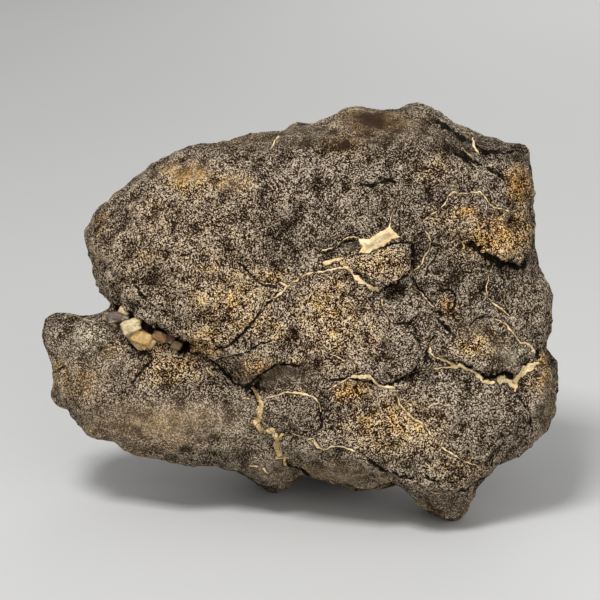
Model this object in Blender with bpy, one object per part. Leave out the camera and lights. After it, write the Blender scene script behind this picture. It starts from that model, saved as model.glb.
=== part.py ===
"""A weathered stony meteorite: one broken, wind-worn stone that rests on three small flats.

The stone is shaped face on, as it would be held up for a portrait. In that face frame a place is
(across, up, back) in millimetres: across to the right, up, and back away from the viewer, with
across and up read in the plane through the stone's middle. The finished stone is then tipped back
onto its feet, the feet are ground flat, and its origin is put at the middle of its base.
"""

import math

import bmesh
import bpy
import numpy as np
from mathutils import Matrix, Vector, noise
from mathutils.bvhtree import BVHTree

MM = 0.001

# How the stone is held for shaping
VIEW_DISTANCE = 450.0  # from the viewer's eye to the plane through the stone's middle
LEAN = math.radians(15.0)  # the viewer looks down this much, so the face leans back by it

# Feet
FLOOR_DROP = 37.0  # the ground lies this far below the face frame's origin, after leaning

# Surface and solid
RIM_SPACING = 1.2
FRONT_EASING = 8  # rounds of easing that a rim has had where it meets the front crown
BACK_EASING = 40  # and where it meets the back crown
BLOCK_GRAIN = 0.75  # grain of the blocks, in which the breaks, ledges and swellings are worked
BLOCK_WEAR = 4  # rounds of smoothing that wear the blocks' edges
FINE_GRAIN = 0.6  # grain of the worked stone
FINE_WEAR = 1
STEP = 0.45  # half the width over which a ledge drops
WANDER = (5.0, 0.9)  # how a stroke strays from its drawn path: over what length, and how far
TRIANGLES = 9400  # faces left once the worked surface is simplified

# The two blocks that the stone is split into, as rims: the places where each turns away from the
# viewer, clockwise from its left. The main block's lower left edge is the open crack.
MAIN_RIM = [
    (-36.0, 1.5, -10), (-38.5, 3.0, -9), (-39.5, 5.5, -8), (-40.0, 7.0, -8), (-40.5, 10.0, -8),
    (-42.0, 12.5, -8), (-42.5, 14.0, -8), (-41.0, 16.5, -7), (-39.5, 20.5, -6), (-37.0, 22.0, -6),
    (-33.5, 24.5, -5), (-30.5, 26.5, -5), (-27.5, 29.5, -4), (-22.5, 31.5, -3), (-21.0, 32.5, -3),
    (-19.0, 33.0, -2), (-15.0, 32.5, -2), (-11.5, 34.0, -1), (-8.5, 34.5, -1), (-4.5, 34.5, 0),
    (-2.0, 36.0, 0), (2.5, 36.5, 1), (6.5, 38.0, 2), (9.0, 39.5, 3), (11.0, 40.0, 3),
    (13.5, 39.0, 3), (16.5, 39.0, 3), (20.0, 39.5, 3), (22.5, 40.5, 3), (25.0, 39.5, 3),
    (28.5, 37.5, 2), (31.0, 36.0, 1), (33.5, 35.5, 0), (36.5, 34.0, -1), (40.0, 33.5, -3),
    (43.0, 33.5, -4), (45.0, 31.5, -5), (45.5, 29.5, -6), (45.0, 22.0, -7), (45.5, 15.5, -8),
    (46.0, 11.0, -8), (47.5, 7.0, -7), (49.0, 4.0, -6), (49.0, 1.0, -5), (49.0, -2.5, -4),
    (48.5, -5.0, -4), (47.0, -7.0, -3), (48.5, -8.0, -1), (49.5, -10.5, -1), (49.5, -13.0, -1),
    (50.0, -15.5, -1), (49.0, -19.0, -2), (48.5, -22.5, -2), (46.5, -24.0, -3), (44.5, -25.5, -3),
    (44.0, -26.5, -4), (42.5, -28.5, -5), (40.5, -29.0, -6), (37.0, -32.0, -6), (35.0, -34.5, -6),
    (33.8, -36.2, -6), (33.0, -38.4, -6), (31.6, -41.4, -6), (29.6, -41.8, -6), (27.6, -40.2, -6),
    (24.4, -38.6, -5), (22.3, -36.0, -4), (21.0, -34.0, -2), (17.5, -33.0, 2), (17.0, -34.5, 4),
    (16.0, -35.0, 5), (14.5, -34.5, 6), (12.0, -35.0, 6), (9.5, -34.5, 6), (7.0, -33.5, 6),
    (3.0, -32.0, 5), (0.5, -30.5, 2), (-2.5, -29.0, -4), (-4.5, -27.0, -8), (-7.5, -23.0, -11),
    (-8.0, -20.0, -12), (-7.5, -15.5, -14), (-12.5, -14.0, -14), (-15.0, -11.0, -14),
    (-18.5, -9.0, -14), (-21.5, -7.5, -14), (-25.0, -5.5, -13), (-29.0, -3.5, -12),
    (-33.0, -1.0, -11),
]
WING_RIM = [
    (-50.0, -1.0, -4), (-48.5, 0.0, -3), (-44.0, -1.0, -3), (-42.0, -1.5, -3), (-39.5, -1.0, -3),
    (-38.0, 0.0, -2), (-36.0, 0.5, 0), (-25.0, 3.0, 6), (-10.0, 0.0, 8), (2.0, -10.0, 8),
    (6.0, -22.0, 8), (2.0, -30.0, 9), (-0.5, -32.5, 11), (-2.0, -34.5, 12), (-4.5, -35.5, 12.5),
    (-7.0, -34.5, 12), (-10.0, -31.5, 10), (-12.0, -30.5, 9), (-15.0, -30.0, 7), (-19.5, -29.5, 6),
    (-22.5, -29.5, 5), (-26.0, -28.5, 4), (-28.5, -27.5, 3), (-32.0, -27.5, 2), (-34.5, -26.0, 1),
    (-37.0, -24.5, 0), (-39.5, -24.5, 0), (-41.5, -24.0, -1), (-42.5, -22.5, -1),
    (-43.5, -20.5, -2), (-45.0, -19.0, -2), (-47.0, -18.0, -3), (-48.5, -16.5, -3),
    (-48.5, -15.0, -3), (-47.5, -12.5, -4), (-48.0, -9.5, -4), (-49.0, -8.0, -4), (-50.0, -6.0, -4),
    (-50.0, -3.5, -4),
]

# The heel hides behind the belly and gives the stone its third foot.
HEEL_RIM = [
    (-9.0, -6.0, 22), (4.0, -3.0, 22), (16.0, -8.0, 22), (18.0, -16.0, 23), (14.0, -24.0, 24),
    (10.0, -29.0, 25), (4.0, -31.5, 26), (-2.0, -31.0, 26), (-6.0, -27.0, 25), (-10.0, -16.0, 23),
]

# Flat breaks on the hidden sides: a place on each break, and the way that it faces, both as
# (across, up, back).
MAIN_BREAKS = [
    ((0, 24, 26), (-0.10, 0.70, 0.70)),
    ((27, 24, 20), (0.45, 0.60, 0.60)),
    ((-24, 20, 17), (-0.50, 0.55, 0.65)),
    ((38, -2, 19), (0.80, 0.05, 0.60)),
    ((-32, 8, 14), (-0.80, 0.10, 0.60)),
    ((31, -22, 14), (0.50, -0.50, 0.70)),
    ((29, -38, -1), (0.10, -0.75, 0.66)),
    ((6, 2, 32), (0.10, 0.10, 0.99)),
]
HEEL_BREAKS = [
    ((3, -18, 36), (0.15, 0.20, 0.97)),
    ((10, -26, 30), (0.60, -0.30, 0.70)),
    ((-6, -24, 30), (-0.65, -0.20, 0.70)),
]
WING_BREAKS = [
    ((-38, -12, 13), (-0.55, 0.10, 0.80)),
    ((-26, -24, 15), (-0.20, -0.55, 0.80)),
    ((-30, -4, 16), (-0.25, 0.55, 0.80)),
]

# Ledges on the face: the side on the left of each path stands up by the first height and the side
# on its right sinks by the second, and both fade away over the reach.
LEDGES = {
    "upper right brow": (
        [(28.5, 17), (33, 13.5), (35.5, 11), (38.8, 9.5), (41.7, 8.3), (44.4, 9.3), (46.5, 11)],
        2.0, 1.6, 4.5),
    "wedge": (
        [(10, 9.8), (13, 6), (16.1, 4.1), (18.4, 5.6), (20.3, 7), (21.9, 8.8), (22.2, 11),
         (21.9, 13.4)],
        1.7, 1.8, 3.2),
    "column": (
        [(21.7, 6.2), (23.5, 4.3), (25.8, 2.5), (27.5, 1.2), (28.5, -0.8)],
        0.9, 0.5, 3.0),
    "right shelf": (
        [(25, -8), (28, -9.3), (31, -10.4), (33, -11), (35, -13), (36, -13.2), (38, -12.6),
         (40.5, -13), (42, -12), (44, -10.5), (46, -8.5)],
        1.7, 0.8, 4.0),
    "chin": (
        [(17, -30.8), (19.5, -31.6), (22, -33.1), (23.5, -34.5), (25.5, -35.0), (28.5, -35.0),
         (31, -35.2), (33, -34), (35, -32.6), (37.5, -30.6), (40, -29)],
        0.9, 2.4, 5.0),
    "belly": (
        [(3, -25.2), (4.5, -26.4), (7, -26), (9, -26.4), (11, -27), (13, -28.4), (15.5, -30.6),
         (17, -31)],
        0.9, 1.2, 4.0),
    "lip over the dark hollow": (
        [(-9, -14.5), (-7, -12.5), (-4.8, -11.0), (0, -10.4), (2.8, -11.5)],
        0.5, 1.9, 4.0),
    "grey lump": (
        [(3.7, -17.5), (2.5, -16.2), (0, -15.7), (-4, -16.2), (-7.4, -16)],
        0.2, 0.9, 2.2),
    "middle crack": (
        [(5.7, -14.1), (9, -13.1), (12, -12.4), (14, -12.6), (16, -13.8), (18.5, -13.8),
         (21.7, -12.4), (23.6, -11.4)],
        0.8, 0.5, 3.5),
    "long crack": (
        [(2.5, 8), (-3, 4.6), (-7, 1.2), (-9.7, -2.5), (-13, -5), (-17, -7.2)],
        0.25, 0.35, 3.0),
    "cheek": (
        [(26.5, 16.5), (29, 20), (32, 22.6), (34.5, 23), (37.5, 20.5), (40.5, 19.4), (44, 20)],
        0.5, 0.4, 3.5),
    "turn of the main block's left end": (
        [(-23.5, -3.5), (-28, 0.8), (-31, 4.5), (-32.5, 9), (-33, 14)],
        0.5, 0.5, 4.0),
    "bulge on the wing's root": (
        [(-27.5, -10), (-29, -14), (-32, -17.5), (-33.5, -21)],
        0.6, 0.3, 4.0),
    "vein down the belly": (
        [(-8, -16), (-7.5, -20.5), (-5, -24), (-3.5, -28.5)],
        0.5, 0.3, 2.5),
    "edge of the right lump": (
        [(46.6, -7.5), (45.6, -11), (45.8, -16), (45.0, -21), (43.8, -25)],
        0.5, 0.9, 3.0),
}

# Cracks and creases: path, depth, half width
CREASES = [
    ([(15.3, 3.5), (15.7, 1.3), (16.9, -1), (18.4, -2.3), (21.3, -2.1), (22.5, -3.9)], 0.6, 0.7),
    ([(26.7, -1.6), (30, -4.7), (32, -6.3)], 0.8, 0.8),
    ([(35.5, 2.5), (36.6, 1.4), (38.2, 0.8), (40.1, -2.7), (41.7, -5), (44.8, -7.4)], 0.6, 0.7),
    ([(19, -16.5), (21, -19.4), (24.8, -22.7), (28, -26.5), (32.5, -29), (35, -30.5)], 0.5, 0.6),
    ([(-5.8, -16.6), (-1.5, -15.7), (2.9, -16.7), (3.9, -19.6), (4.5, -23)], 0.5, 0.7),
    ([(23, 16), (25.5, 18.4), (29, 21.9), (30.8, 22.7)], 0.4, 0.7),
    ([(-18, -9.5), (-15, -11.5), (-12.5, -14.5), (-9.7, -15.5)], 0.5, 0.8),
    ([(-31, -0.6), (-34, 5), (-33.6, 9.5), (-31.8, 12)], 0.4, 1.0),
    ([(35, 12), (34, 8.5), (36.5, 5), (40.5, 3.4)], 0.5, 0.8),
    ([(30, 14), (28, 10.5), (27.6, 6.5)], 0.5, 0.9),
    ([(-21, 34), (-19.5, 28), (-21, 24)], 0.8, 2.0),
    ([(-38, -6.5), (-36, -11), (-38, -15)], 0.5, 1.2),
    ([(-45.5, -6), (-43, -9), (-44.5, -13)], 0.4, 1.0),
]

# Swellings and hollows of the face: (across, up), radius across, radius up, height
SWELLS = [
    ((38.5, 16.5), 7.5, 4.5, 1.3),
    ((27.5, 2.5), 2.6, 2.4, 0.6),
    ((39.0, -4.0), 6.0, 4.5, 1.1),
    ((46.8, -15.0), 3.0, 5.0, 0.8),
    ((24.0, -30.0), 7.0, 4.5, 1.1),
    ((36.0, -21.0), 9.0, 7.0, 0.9),
    ((18.0, -21.0), 6.0, 4.0, 0.6),
    ((-2.0, -20.5), 4.5, 3.2, 1.5),
    ((10.0, -29.5), 6.0, 2.5, 0.8),
    ((-30.0, 24.0), 9.0, 4.0, 0.6),
    ((-18.0, 26.0), 8.0, 4.5, 0.7),
    ((-40.0, -4.0), 3.2, 2.6, 0.9),
    ((-35.0, -15.0), 4.0, 2.5, 0.7),
    ((-24.0, -12.5), 5.0, 4.0, 1.0),
    ((-27.0, -18.0), 3.5, 3.0, -0.5),
    ((14.5, 37.0), 3.4, 2.6, -1.8),
    ((8.7, 32.0), 2.8, 2.4, -0.8),
    ((30.5, 34.5), 3.6, 2.2, -1.4),
    ((41.0, 30.5), 3.6, 2.4, -1.0),
    ((36.0, 27.0), 4.0, 3.0, 0.6),
    ((-27.0, 8.5), 3.2, 2.2, -0.9),
    ((-36.8, 16.5), 2.2, 4.0, -0.9),
    ((-38.0, 7.0), 2.5, 2.5, 0.6),
    ((-35.0, -8.5), 2.4, 5.0, -0.9),
    ((-42.0, -15.0), 3.0, 2.5, -0.6),
    ((-20.0, -24.0), 6.0, 2.5, -0.7),
    ((20.0, 0.5), 4.0, 3.0, -0.9),
    ((31.0, 7.5), 3.0, 4.0, -0.7),
    ((4.5, 14.0), 9.0, 6.0, -0.7),
    ((0.0, -4.0), 8.0, 5.0, 0.5),
    ((-12.0, 10.0), 9.0, 6.0, 0.6),
    ((19.5, 8.5), 2.8, 2.6, 0.9),
    ((24.0, 11.5), 1.6, 3.0, -0.9),
    ((19.0, 3.2), 2.6, 1.5, -0.8),
]

# Pieces of crack filling wedged in the notch between the blocks: (across, up), half sizes
# across, up and back, turn in the picture plane in degrees, share of the depth that stands proud
FILLING = [
    ((-32.9, -3.0), (1.6, 1.2, 1.8), 35, 0.55),
    ((-30.9, -4.9), (1.8, 1.2, 1.8), -30, 0.5),
    ((-29.8, -6.7), (1.5, 0.8, 1.4), -25, 0.45),
    ((-27.3, -5.0), (1.4, 0.9, 1.5), -25, 0.45),
    ((-25.4, -5.9), (1.2, 0.8, 1.2), -20, 0.4),
    ((-23.8, -6.7), (0.9, 0.8, 1.1), -30, 0.45),
    ((-35.3, -0.6), (2.5, 0.9, 2.2), -8, 0.6),
]

# Natural unevenness all over: length of the waves and their height, first rounded, then creased
WAVES = [(22.0, 1.7), (9.0, 0.9), (4.0, 0.45)]
CREASED_WAVES = [(14.0, 2.2), (6.5, 1.1)]
CALM = 0.6  # share of the unevenness that is left out where the stone turns away from the viewer


def clear_scene():
    for obj in list(bpy.data.objects):
        bpy.data.objects.remove(obj)


def placed(across, up, back):
    """The point that the viewer sees at (across, up) and that lies that far back."""
    spread = 1.0 + back / VIEW_DISTANCE
    return Vector((across * spread, back, up * spread))


def evenly_spaced(loop, spacing):
    """The closed loop with a place about every so many millimetres along it."""
    closed = np.vstack([loop, loop[:1]])
    lengths = np.linalg.norm(np.diff(closed[:, :2], axis=0), axis=1)
    along = np.concatenate([[0.0], np.cumsum(lengths)])
    stops = np.linspace(0.0, along[-1], round(along[-1] / spacing), endpoint=False)
    return np.stack([np.interp(stops, along, column) for column in closed.T], axis=1)


def eased(loop, rounds):
    """The loop with its jags worn down by averaging each place with its neighbours."""
    for _ in range(rounds):
        loop = 0.5 * loop + 0.25 * (np.roll(loop, 1, axis=0) + np.roll(loop, -1, axis=0))
    return loop


def as_object(name, shape):
    mesh = bpy.data.meshes.new(name)
    shape.to_mesh(mesh)
    shape.free()
    obj = bpy.data.objects.new(name, mesh)
    bpy.context.scene.collection.objects.link(obj)
    return obj


def domed_block(name, rim, heart, front, back):
    """A block that swells from its rim to a crown at the front and one at the back.

    Each ring between is (share of the rim's size about the heart, share of the way from the
    rim's own depth to the crown's).
    """
    front_rings = [(0.985, 0.35), (0.95, 0.6), (0.88, 0.8), (0.75, 0.93), (0.55, 1.0), (0.3, 1.02)]
    back_rings = [(0.985, 0.12), (0.94, 0.35), (0.85, 0.6), (0.7, 0.82), (0.45, 0.97), (0.2, 1.0)]
    rim = evenly_spaced(np.array(rim, float), RIM_SPACING)
    heart = np.array(heart, float)
    shape = bmesh.new()

    def ring(size, rise, crown, wear):
        loop = eased(rim, round(rise * wear))
        plan = heart + (loop[:, :2] - heart) * size
        depth = loop[:, 2] + (crown - loop[:, 2]) * rise
        return [shape.verts.new(placed(u, v, w)) for (u, v), w in zip(plan, depth)]

    rings = [ring(size, rise, back, BACK_EASING) for size, rise in reversed(back_rings)]
    rings.append(ring(1.0, 0.0, front, 0))
    rings += [ring(size, rise, front, FRONT_EASING) for size, rise in front_rings]
    for near, far in zip(rings[1:], rings):
        for i in range(len(rim)):
            j = (i + 1) % len(rim)
            shape.faces.new((far[i], far[j], near[j], near[i]))
    shape.faces.new(list(reversed(rings[0])))
    shape.faces.new(rings[-1])
    bmesh.ops.triangulate(shape, faces=shape.faces)
    bmesh.ops.recalc_face_normals(shape, faces=shape.faces)
    return as_object(name, shape)


def with_modifiers(obj, name):
    """A new object with the mesh that the modifiers on obj give. obj is removed."""
    graph = bpy.context.evaluated_depsgraph_get()
    mesh = bpy.data.meshes.new_from_object(obj.evaluated_get(graph))
    bpy.data.objects.remove(obj)
    mesh.name = name
    made = bpy.data.objects.new(name, mesh)
    bpy.context.scene.collection.objects.link(made)
    return made


def worn_skin(body, grain, wear):
    """The body's outer surface in an even grain, after that many rounds of wear."""
    skin = body.modifiers.new("grain", "REMESH")
    skin.mode = "VOXEL"
    skin.voxel_size = grain
    smooth = body.modifiers.new("wear", "SMOOTH")
    smooth.factor = 0.5
    smooth.iterations = wear
    return with_modifiers(body, "skin")


def gathered(bodies):
    """The bodies as they are, overlapping, in one object."""
    shape = bmesh.new()
    for body in bodies:
        shape.from_mesh(body.data)
        bpy.data.objects.remove(body)
    return as_object("gathered", shape)


def read_points(mesh):
    """The places and the outward directions of the mesh's points."""
    places = np.empty(len(mesh.vertices) * 3)
    mesh.vertices.foreach_get("co", places)
    facing = np.empty(len(mesh.vertices) * 3)
    mesh.vertices.foreach_get("normal", facing)
    return places.reshape(-1, 3), facing.reshape(-1, 3)


def broken(block, breaks):
    """The block with what lies beyond each flat break planed away."""
    skin = worn_skin(block, BLOCK_GRAIN, 0)
    places, _ = read_points(skin.data)
    for place, (across, up, back) in breaks:
        facing = np.array([across, back, up]) / math.hypot(across, up, back)
        beyond = (places - np.array(placed(*place))) @ facing
        places -= np.maximum(beyond, 0.0)[:, None] * facing
    skin.data.vertices.foreach_set("co", places.ravel())
    skin.data.update()
    return skin


def from_path(plan, path):
    """How far each place of the plan lies from the path, counted positive on the left of it, and
    how near the path's ends its nearest place is, from 0 at an end to 0.5 at the middle."""
    path = np.array(path, float)
    lengths = np.linalg.norm(np.diff(path, axis=0), axis=1)
    starts = np.concatenate([[0.0], np.cumsum(lengths)])
    nearest = np.full(len(plan), np.inf)
    side = np.ones(len(plan))
    share = np.zeros(len(plan))
    for start, end, length, before in zip(path, path[1:], lengths, starts):
        run = (end - start) / length
        off = plan - start
        along = np.clip(off @ run, 0.0, length)
        distance = np.linalg.norm(off - along[:, None] * run, axis=1)
        closer = distance < nearest
        nearest[closer] = distance[closer]
        side[closer] = np.sign(run[0] * off[:, 1] - run[1] * off[:, 0])[closer]
        share[closer] = ((before + along) / starts[-1])[closer]
    return nearest * side, np.minimum(share, 1.0 - share)


def ledge_height(plan, path, raised, sunk, reach):
    distance, from_end = from_path(plan, path)
    fade = np.exp(-((distance / reach) ** 2)) * np.clip(from_end / 0.12, 0.0, 1.0)
    above = 0.5 + 0.5 * np.tanh(distance / STEP)
    return (raised * above - sunk * (1.0 - above)) * fade


def crease_height(plan, path, depth, half_width):
    distance, from_end = from_path(plan, path)
    return -depth * np.exp(-((distance / half_width) ** 2)) * np.clip(from_end / 0.1, 0.0, 1.0)


def swell_height(plan, middle, across, up, height):
    off = (plan - np.array(middle)) / np.array([across, up])
    return height * np.exp(-(off**2).sum(axis=1))


def ripple(place, length):
    return noise.noise(Vector(place) / length, noise_basis="PERLIN_ORIGINAL")


def waves_at(place):
    """The natural unevenness at a place, in millimetres."""
    rounded = sum(height * ripple(place, length) for length, height in WAVES)
    creased = sum(height * (0.25 - abs(ripple(place, length))) for length, height in CREASED_WAVES)
    return rounded + creased


def work_surface(stone):
    """Raises the ledges, creases, swellings and unevenness on the fused blocks."""
    places, facing = read_points(stone.data)
    spread = 1.0 + places[:, 1:2] / VIEW_DISTANCE
    plan = places[:, [0, 2]] / spread
    length, stray = WANDER
    plan += [[stray * ripple((u, v, shift), length) for shift in (0.0, 50.0)] for u, v in plan]
    on_face = np.clip((-facing[:, 1] - 0.05) / 0.45, 0.0, 1.0)
    height = np.zeros(len(places))
    for path, raised, sunk, reach in LEDGES.values():
        height += ledge_height(plan, path, raised, sunk, reach)
    for path, depth, half_width in CREASES:
        height += crease_height(plan, path, depth, half_width)
    for middle, across, up, rise in SWELLS:
        height += swell_height(plan, middle, across, up, rise)
    height *= on_face
    calm = CALM * np.exp(-((facing[:, 1] / 0.35) ** 2)) * np.clip((12.0 - places[:, 1]) / 6.0, 0, 1)
    height += (1.0 - calm) * [waves_at(place) for place in places]
    places += facing * height[:, None]
    stone.data.vertices.foreach_set("co", places.ravel())
    stone.data.update()


def front_depth(tree, across, up):
    """How far back the viewer meets the stone at (across, up)."""
    eye = Vector((0.0, -VIEW_DISTANCE, 0.0))
    hit = tree.ray_cast(eye, placed(across, up, 0.0) - eye)[0]
    return hit.y


def filling_pieces(stone):
    """The pieces of crack filling, each as a worn little block set into the stone's face."""
    tree = BVHTree.FromObject(stone, bpy.context.evaluated_depsgraph_get())
    pieces = []
    for number, (middle, (across, up, back), turn, proud) in enumerate(FILLING):
        shape = bmesh.new()
        bmesh.ops.create_icosphere(shape, subdivisions=2, radius=1.0)
        for vert in shape.verts:
            vert.co = Vector([math.copysign(abs(c) ** 0.6, c) for c in vert.co])
            vert.co += 0.25 * noise.noise_vector(vert.co * 1.3 + Vector((7.0 * number, 0.0, 0.0)))
        depth = front_depth(tree, *middle) + back * (1.0 - 2.0 * proud)
        bmesh.ops.transform(
            shape,
            matrix=Matrix.Translation(placed(*middle, depth))
            @ Matrix.Rotation(-math.radians(turn), 4, "Y")
            @ Matrix.Diagonal((across, back, up, 1.0)),
            verts=shape.verts,
        )
        pieces.append(as_object("filling " + str(number + 1), shape))
    return pieces


def stood_on_its_feet(stone):
    """Tips the stone back, flattens its feet and puts its origin at the middle of its base."""
    shape = bmesh.new()
    shape.from_mesh(stone.data)
    bpy.data.objects.remove(stone)
    bmesh.ops.transform(shape, matrix=Matrix.Rotation(-LEAN, 4, "X"), verts=shape.verts)
    ground = Vector((0.0, 0.0, -FLOOR_DROP))
    cut = bmesh.ops.bisect_plane(
        shape,
        geom=shape.verts[:] + shape.edges[:] + shape.faces[:],
        plane_co=ground,
        plane_no=Vector((0.0, 0.0, -1.0)),
        clear_outer=True,
    )
    edges = [e for e in cut["geom_cut"] if isinstance(e, bmesh.types.BMEdge)]
    for face in shape.faces:
        face.smooth = True
    soles = bmesh.ops.edgeloop_fill(shape, edges=edges)["faces"]
    for edge in edges:
        edge.smooth = False
    bmesh.ops.triangulate(shape, faces=soles)
    bmesh.ops.recalc_face_normals(shape, faces=shape.faces)
    low = Vector([min(v.co[axis] for v in shape.verts) for axis in range(3)])
    high = Vector([max(v.co[axis] for v in shape.verts) for axis in range(3)])
    base = Vector(((low.x + high.x) / 2.0, (low.y + high.y) / 2.0, low.z))
    place = Matrix.Scale(MM, 4) @ Matrix.Translation(-base)
    bmesh.ops.transform(shape, matrix=place, verts=shape.verts)
    return as_object("stone", shape)


def stone_material():
    material = bpy.data.materials.new("weathered stone")
    material.use_nodes = True
    surface = material.node_tree.nodes["Principled BSDF"]
    surface.inputs["Base Color"].default_value = (0.115, 0.084, 0.058, 1.0)
    surface.inputs["Roughness"].default_value = 0.85
    surface.inputs["Metallic"].default_value = 0.0
    return material


def build():
    clear_scene()
    main = domed_block("main", MAIN_RIM, (6.0, 0.0), -21.0, 36.0)
    wing = domed_block("wing", WING_RIM, (-22.0, -14.0), -13.0, 27.0)
    heel = domed_block("heel", HEEL_RIM, (3.0, -17.0), 12.0, 40.0)
    blocks = [broken(main, MAIN_BREAKS), broken(wing, WING_BREAKS), broken(heel, HEEL_BREAKS)]
    skin = worn_skin(gathered(blocks), BLOCK_GRAIN, BLOCK_WEAR)
    work_surface(skin)
    whole = worn_skin(gathered([skin] + filling_pieces(skin)), FINE_GRAIN, FINE_WEAR)
    simpler = whole.modifiers.new("simpler", "DECIMATE")
    simpler.ratio = TRIANGLES / sum(len(p.vertices) - 2 for p in whole.data.polygons)
    stone = stood_on_its_feet(with_modifiers(whole, "simpler"))
    stone.data.materials.append(stone_material())


build()
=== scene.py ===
"""A weathered stony meteorite on a pale studio floor.

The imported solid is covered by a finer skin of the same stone, worked with the cracks, veins and
grain that its face shows. The face is drawn in portrait pixels, (x, y) with y down, of the square
picture that the camera takes, and each stroke lies where the viewer's ray through that pixel meets
the stone.
"""

import math
from contextlib import contextmanager

import bmesh
import bpy
import numpy as np
from mathutils import Matrix, Vector, noise
from mathutils.bvhtree import BVHTree


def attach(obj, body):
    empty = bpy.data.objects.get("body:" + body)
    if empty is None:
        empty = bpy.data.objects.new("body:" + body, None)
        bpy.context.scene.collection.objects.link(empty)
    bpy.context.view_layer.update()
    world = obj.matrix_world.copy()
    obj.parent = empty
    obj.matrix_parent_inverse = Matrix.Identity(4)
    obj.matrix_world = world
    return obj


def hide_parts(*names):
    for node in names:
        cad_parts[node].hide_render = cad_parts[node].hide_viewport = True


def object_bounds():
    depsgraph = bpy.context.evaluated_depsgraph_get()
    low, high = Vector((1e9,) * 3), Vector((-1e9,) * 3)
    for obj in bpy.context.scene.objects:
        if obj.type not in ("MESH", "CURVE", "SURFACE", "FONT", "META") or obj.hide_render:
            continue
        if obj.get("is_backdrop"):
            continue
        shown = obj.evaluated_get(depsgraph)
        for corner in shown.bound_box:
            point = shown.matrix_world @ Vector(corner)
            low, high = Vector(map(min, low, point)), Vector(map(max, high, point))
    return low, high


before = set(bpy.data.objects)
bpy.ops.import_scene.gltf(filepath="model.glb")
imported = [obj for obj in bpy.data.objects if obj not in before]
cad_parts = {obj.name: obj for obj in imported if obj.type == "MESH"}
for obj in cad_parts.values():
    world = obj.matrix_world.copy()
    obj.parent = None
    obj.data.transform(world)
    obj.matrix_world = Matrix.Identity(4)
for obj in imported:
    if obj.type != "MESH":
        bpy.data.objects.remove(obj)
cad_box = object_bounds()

MM = 0.001

# The portrait: the same view that the solid was shaped in
PICTURE = 600  # pixels across and down
PIXEL = 0.1938  # millimetres to a pixel at the plane through the stone's middle
PORTRAIT_CENTRE = (300.0, 311.0)  # the pixel that shows the face frame's origin
FACE_ORIGIN = Vector((-0.125, -4.275, 37.0)) * MM  # the face frame's origin in the world
VIEW_DISTANCE = 450.0  # millimetres from the viewer's eye to that plane
LEAN = math.radians(15.0)  # the viewer looks down by this angle

# Skin of the stone, in millimetres
SKIN_GRAIN = 1.13  # spacing of the skin's points before it is refined
SKIN_WEAR = 4  # rounds of smoothing that take the solid's facets off
FACE_TURN = 0.15  # the skin is refined where it faces the viewer more squarely than this
FACE_WEAR = 2  # rounds of smoothing that follow
STROKE_REACH = 0.3  # it is refined again this near to a stroke
EDGE_REACH = 0.1  # and once more this near to the edge of the pale filling
SIGHT_SLACK = 1.0  # a point is seen if the viewer's ray to it meets the stone this near to it

# Where the parting of the blocks is closed, in portrait pixels: its groove is worn away
CLOSED_PARTING = [(198, 354), (222, 369), (236, 381), (250, 388)]
CLOSED_REACH = 3.0
CLOSED_WEAR = 40  # rounds of smoothing
CLOSED_TURN = -0.3  # how squarely its points face the viewer, at the least

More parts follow.
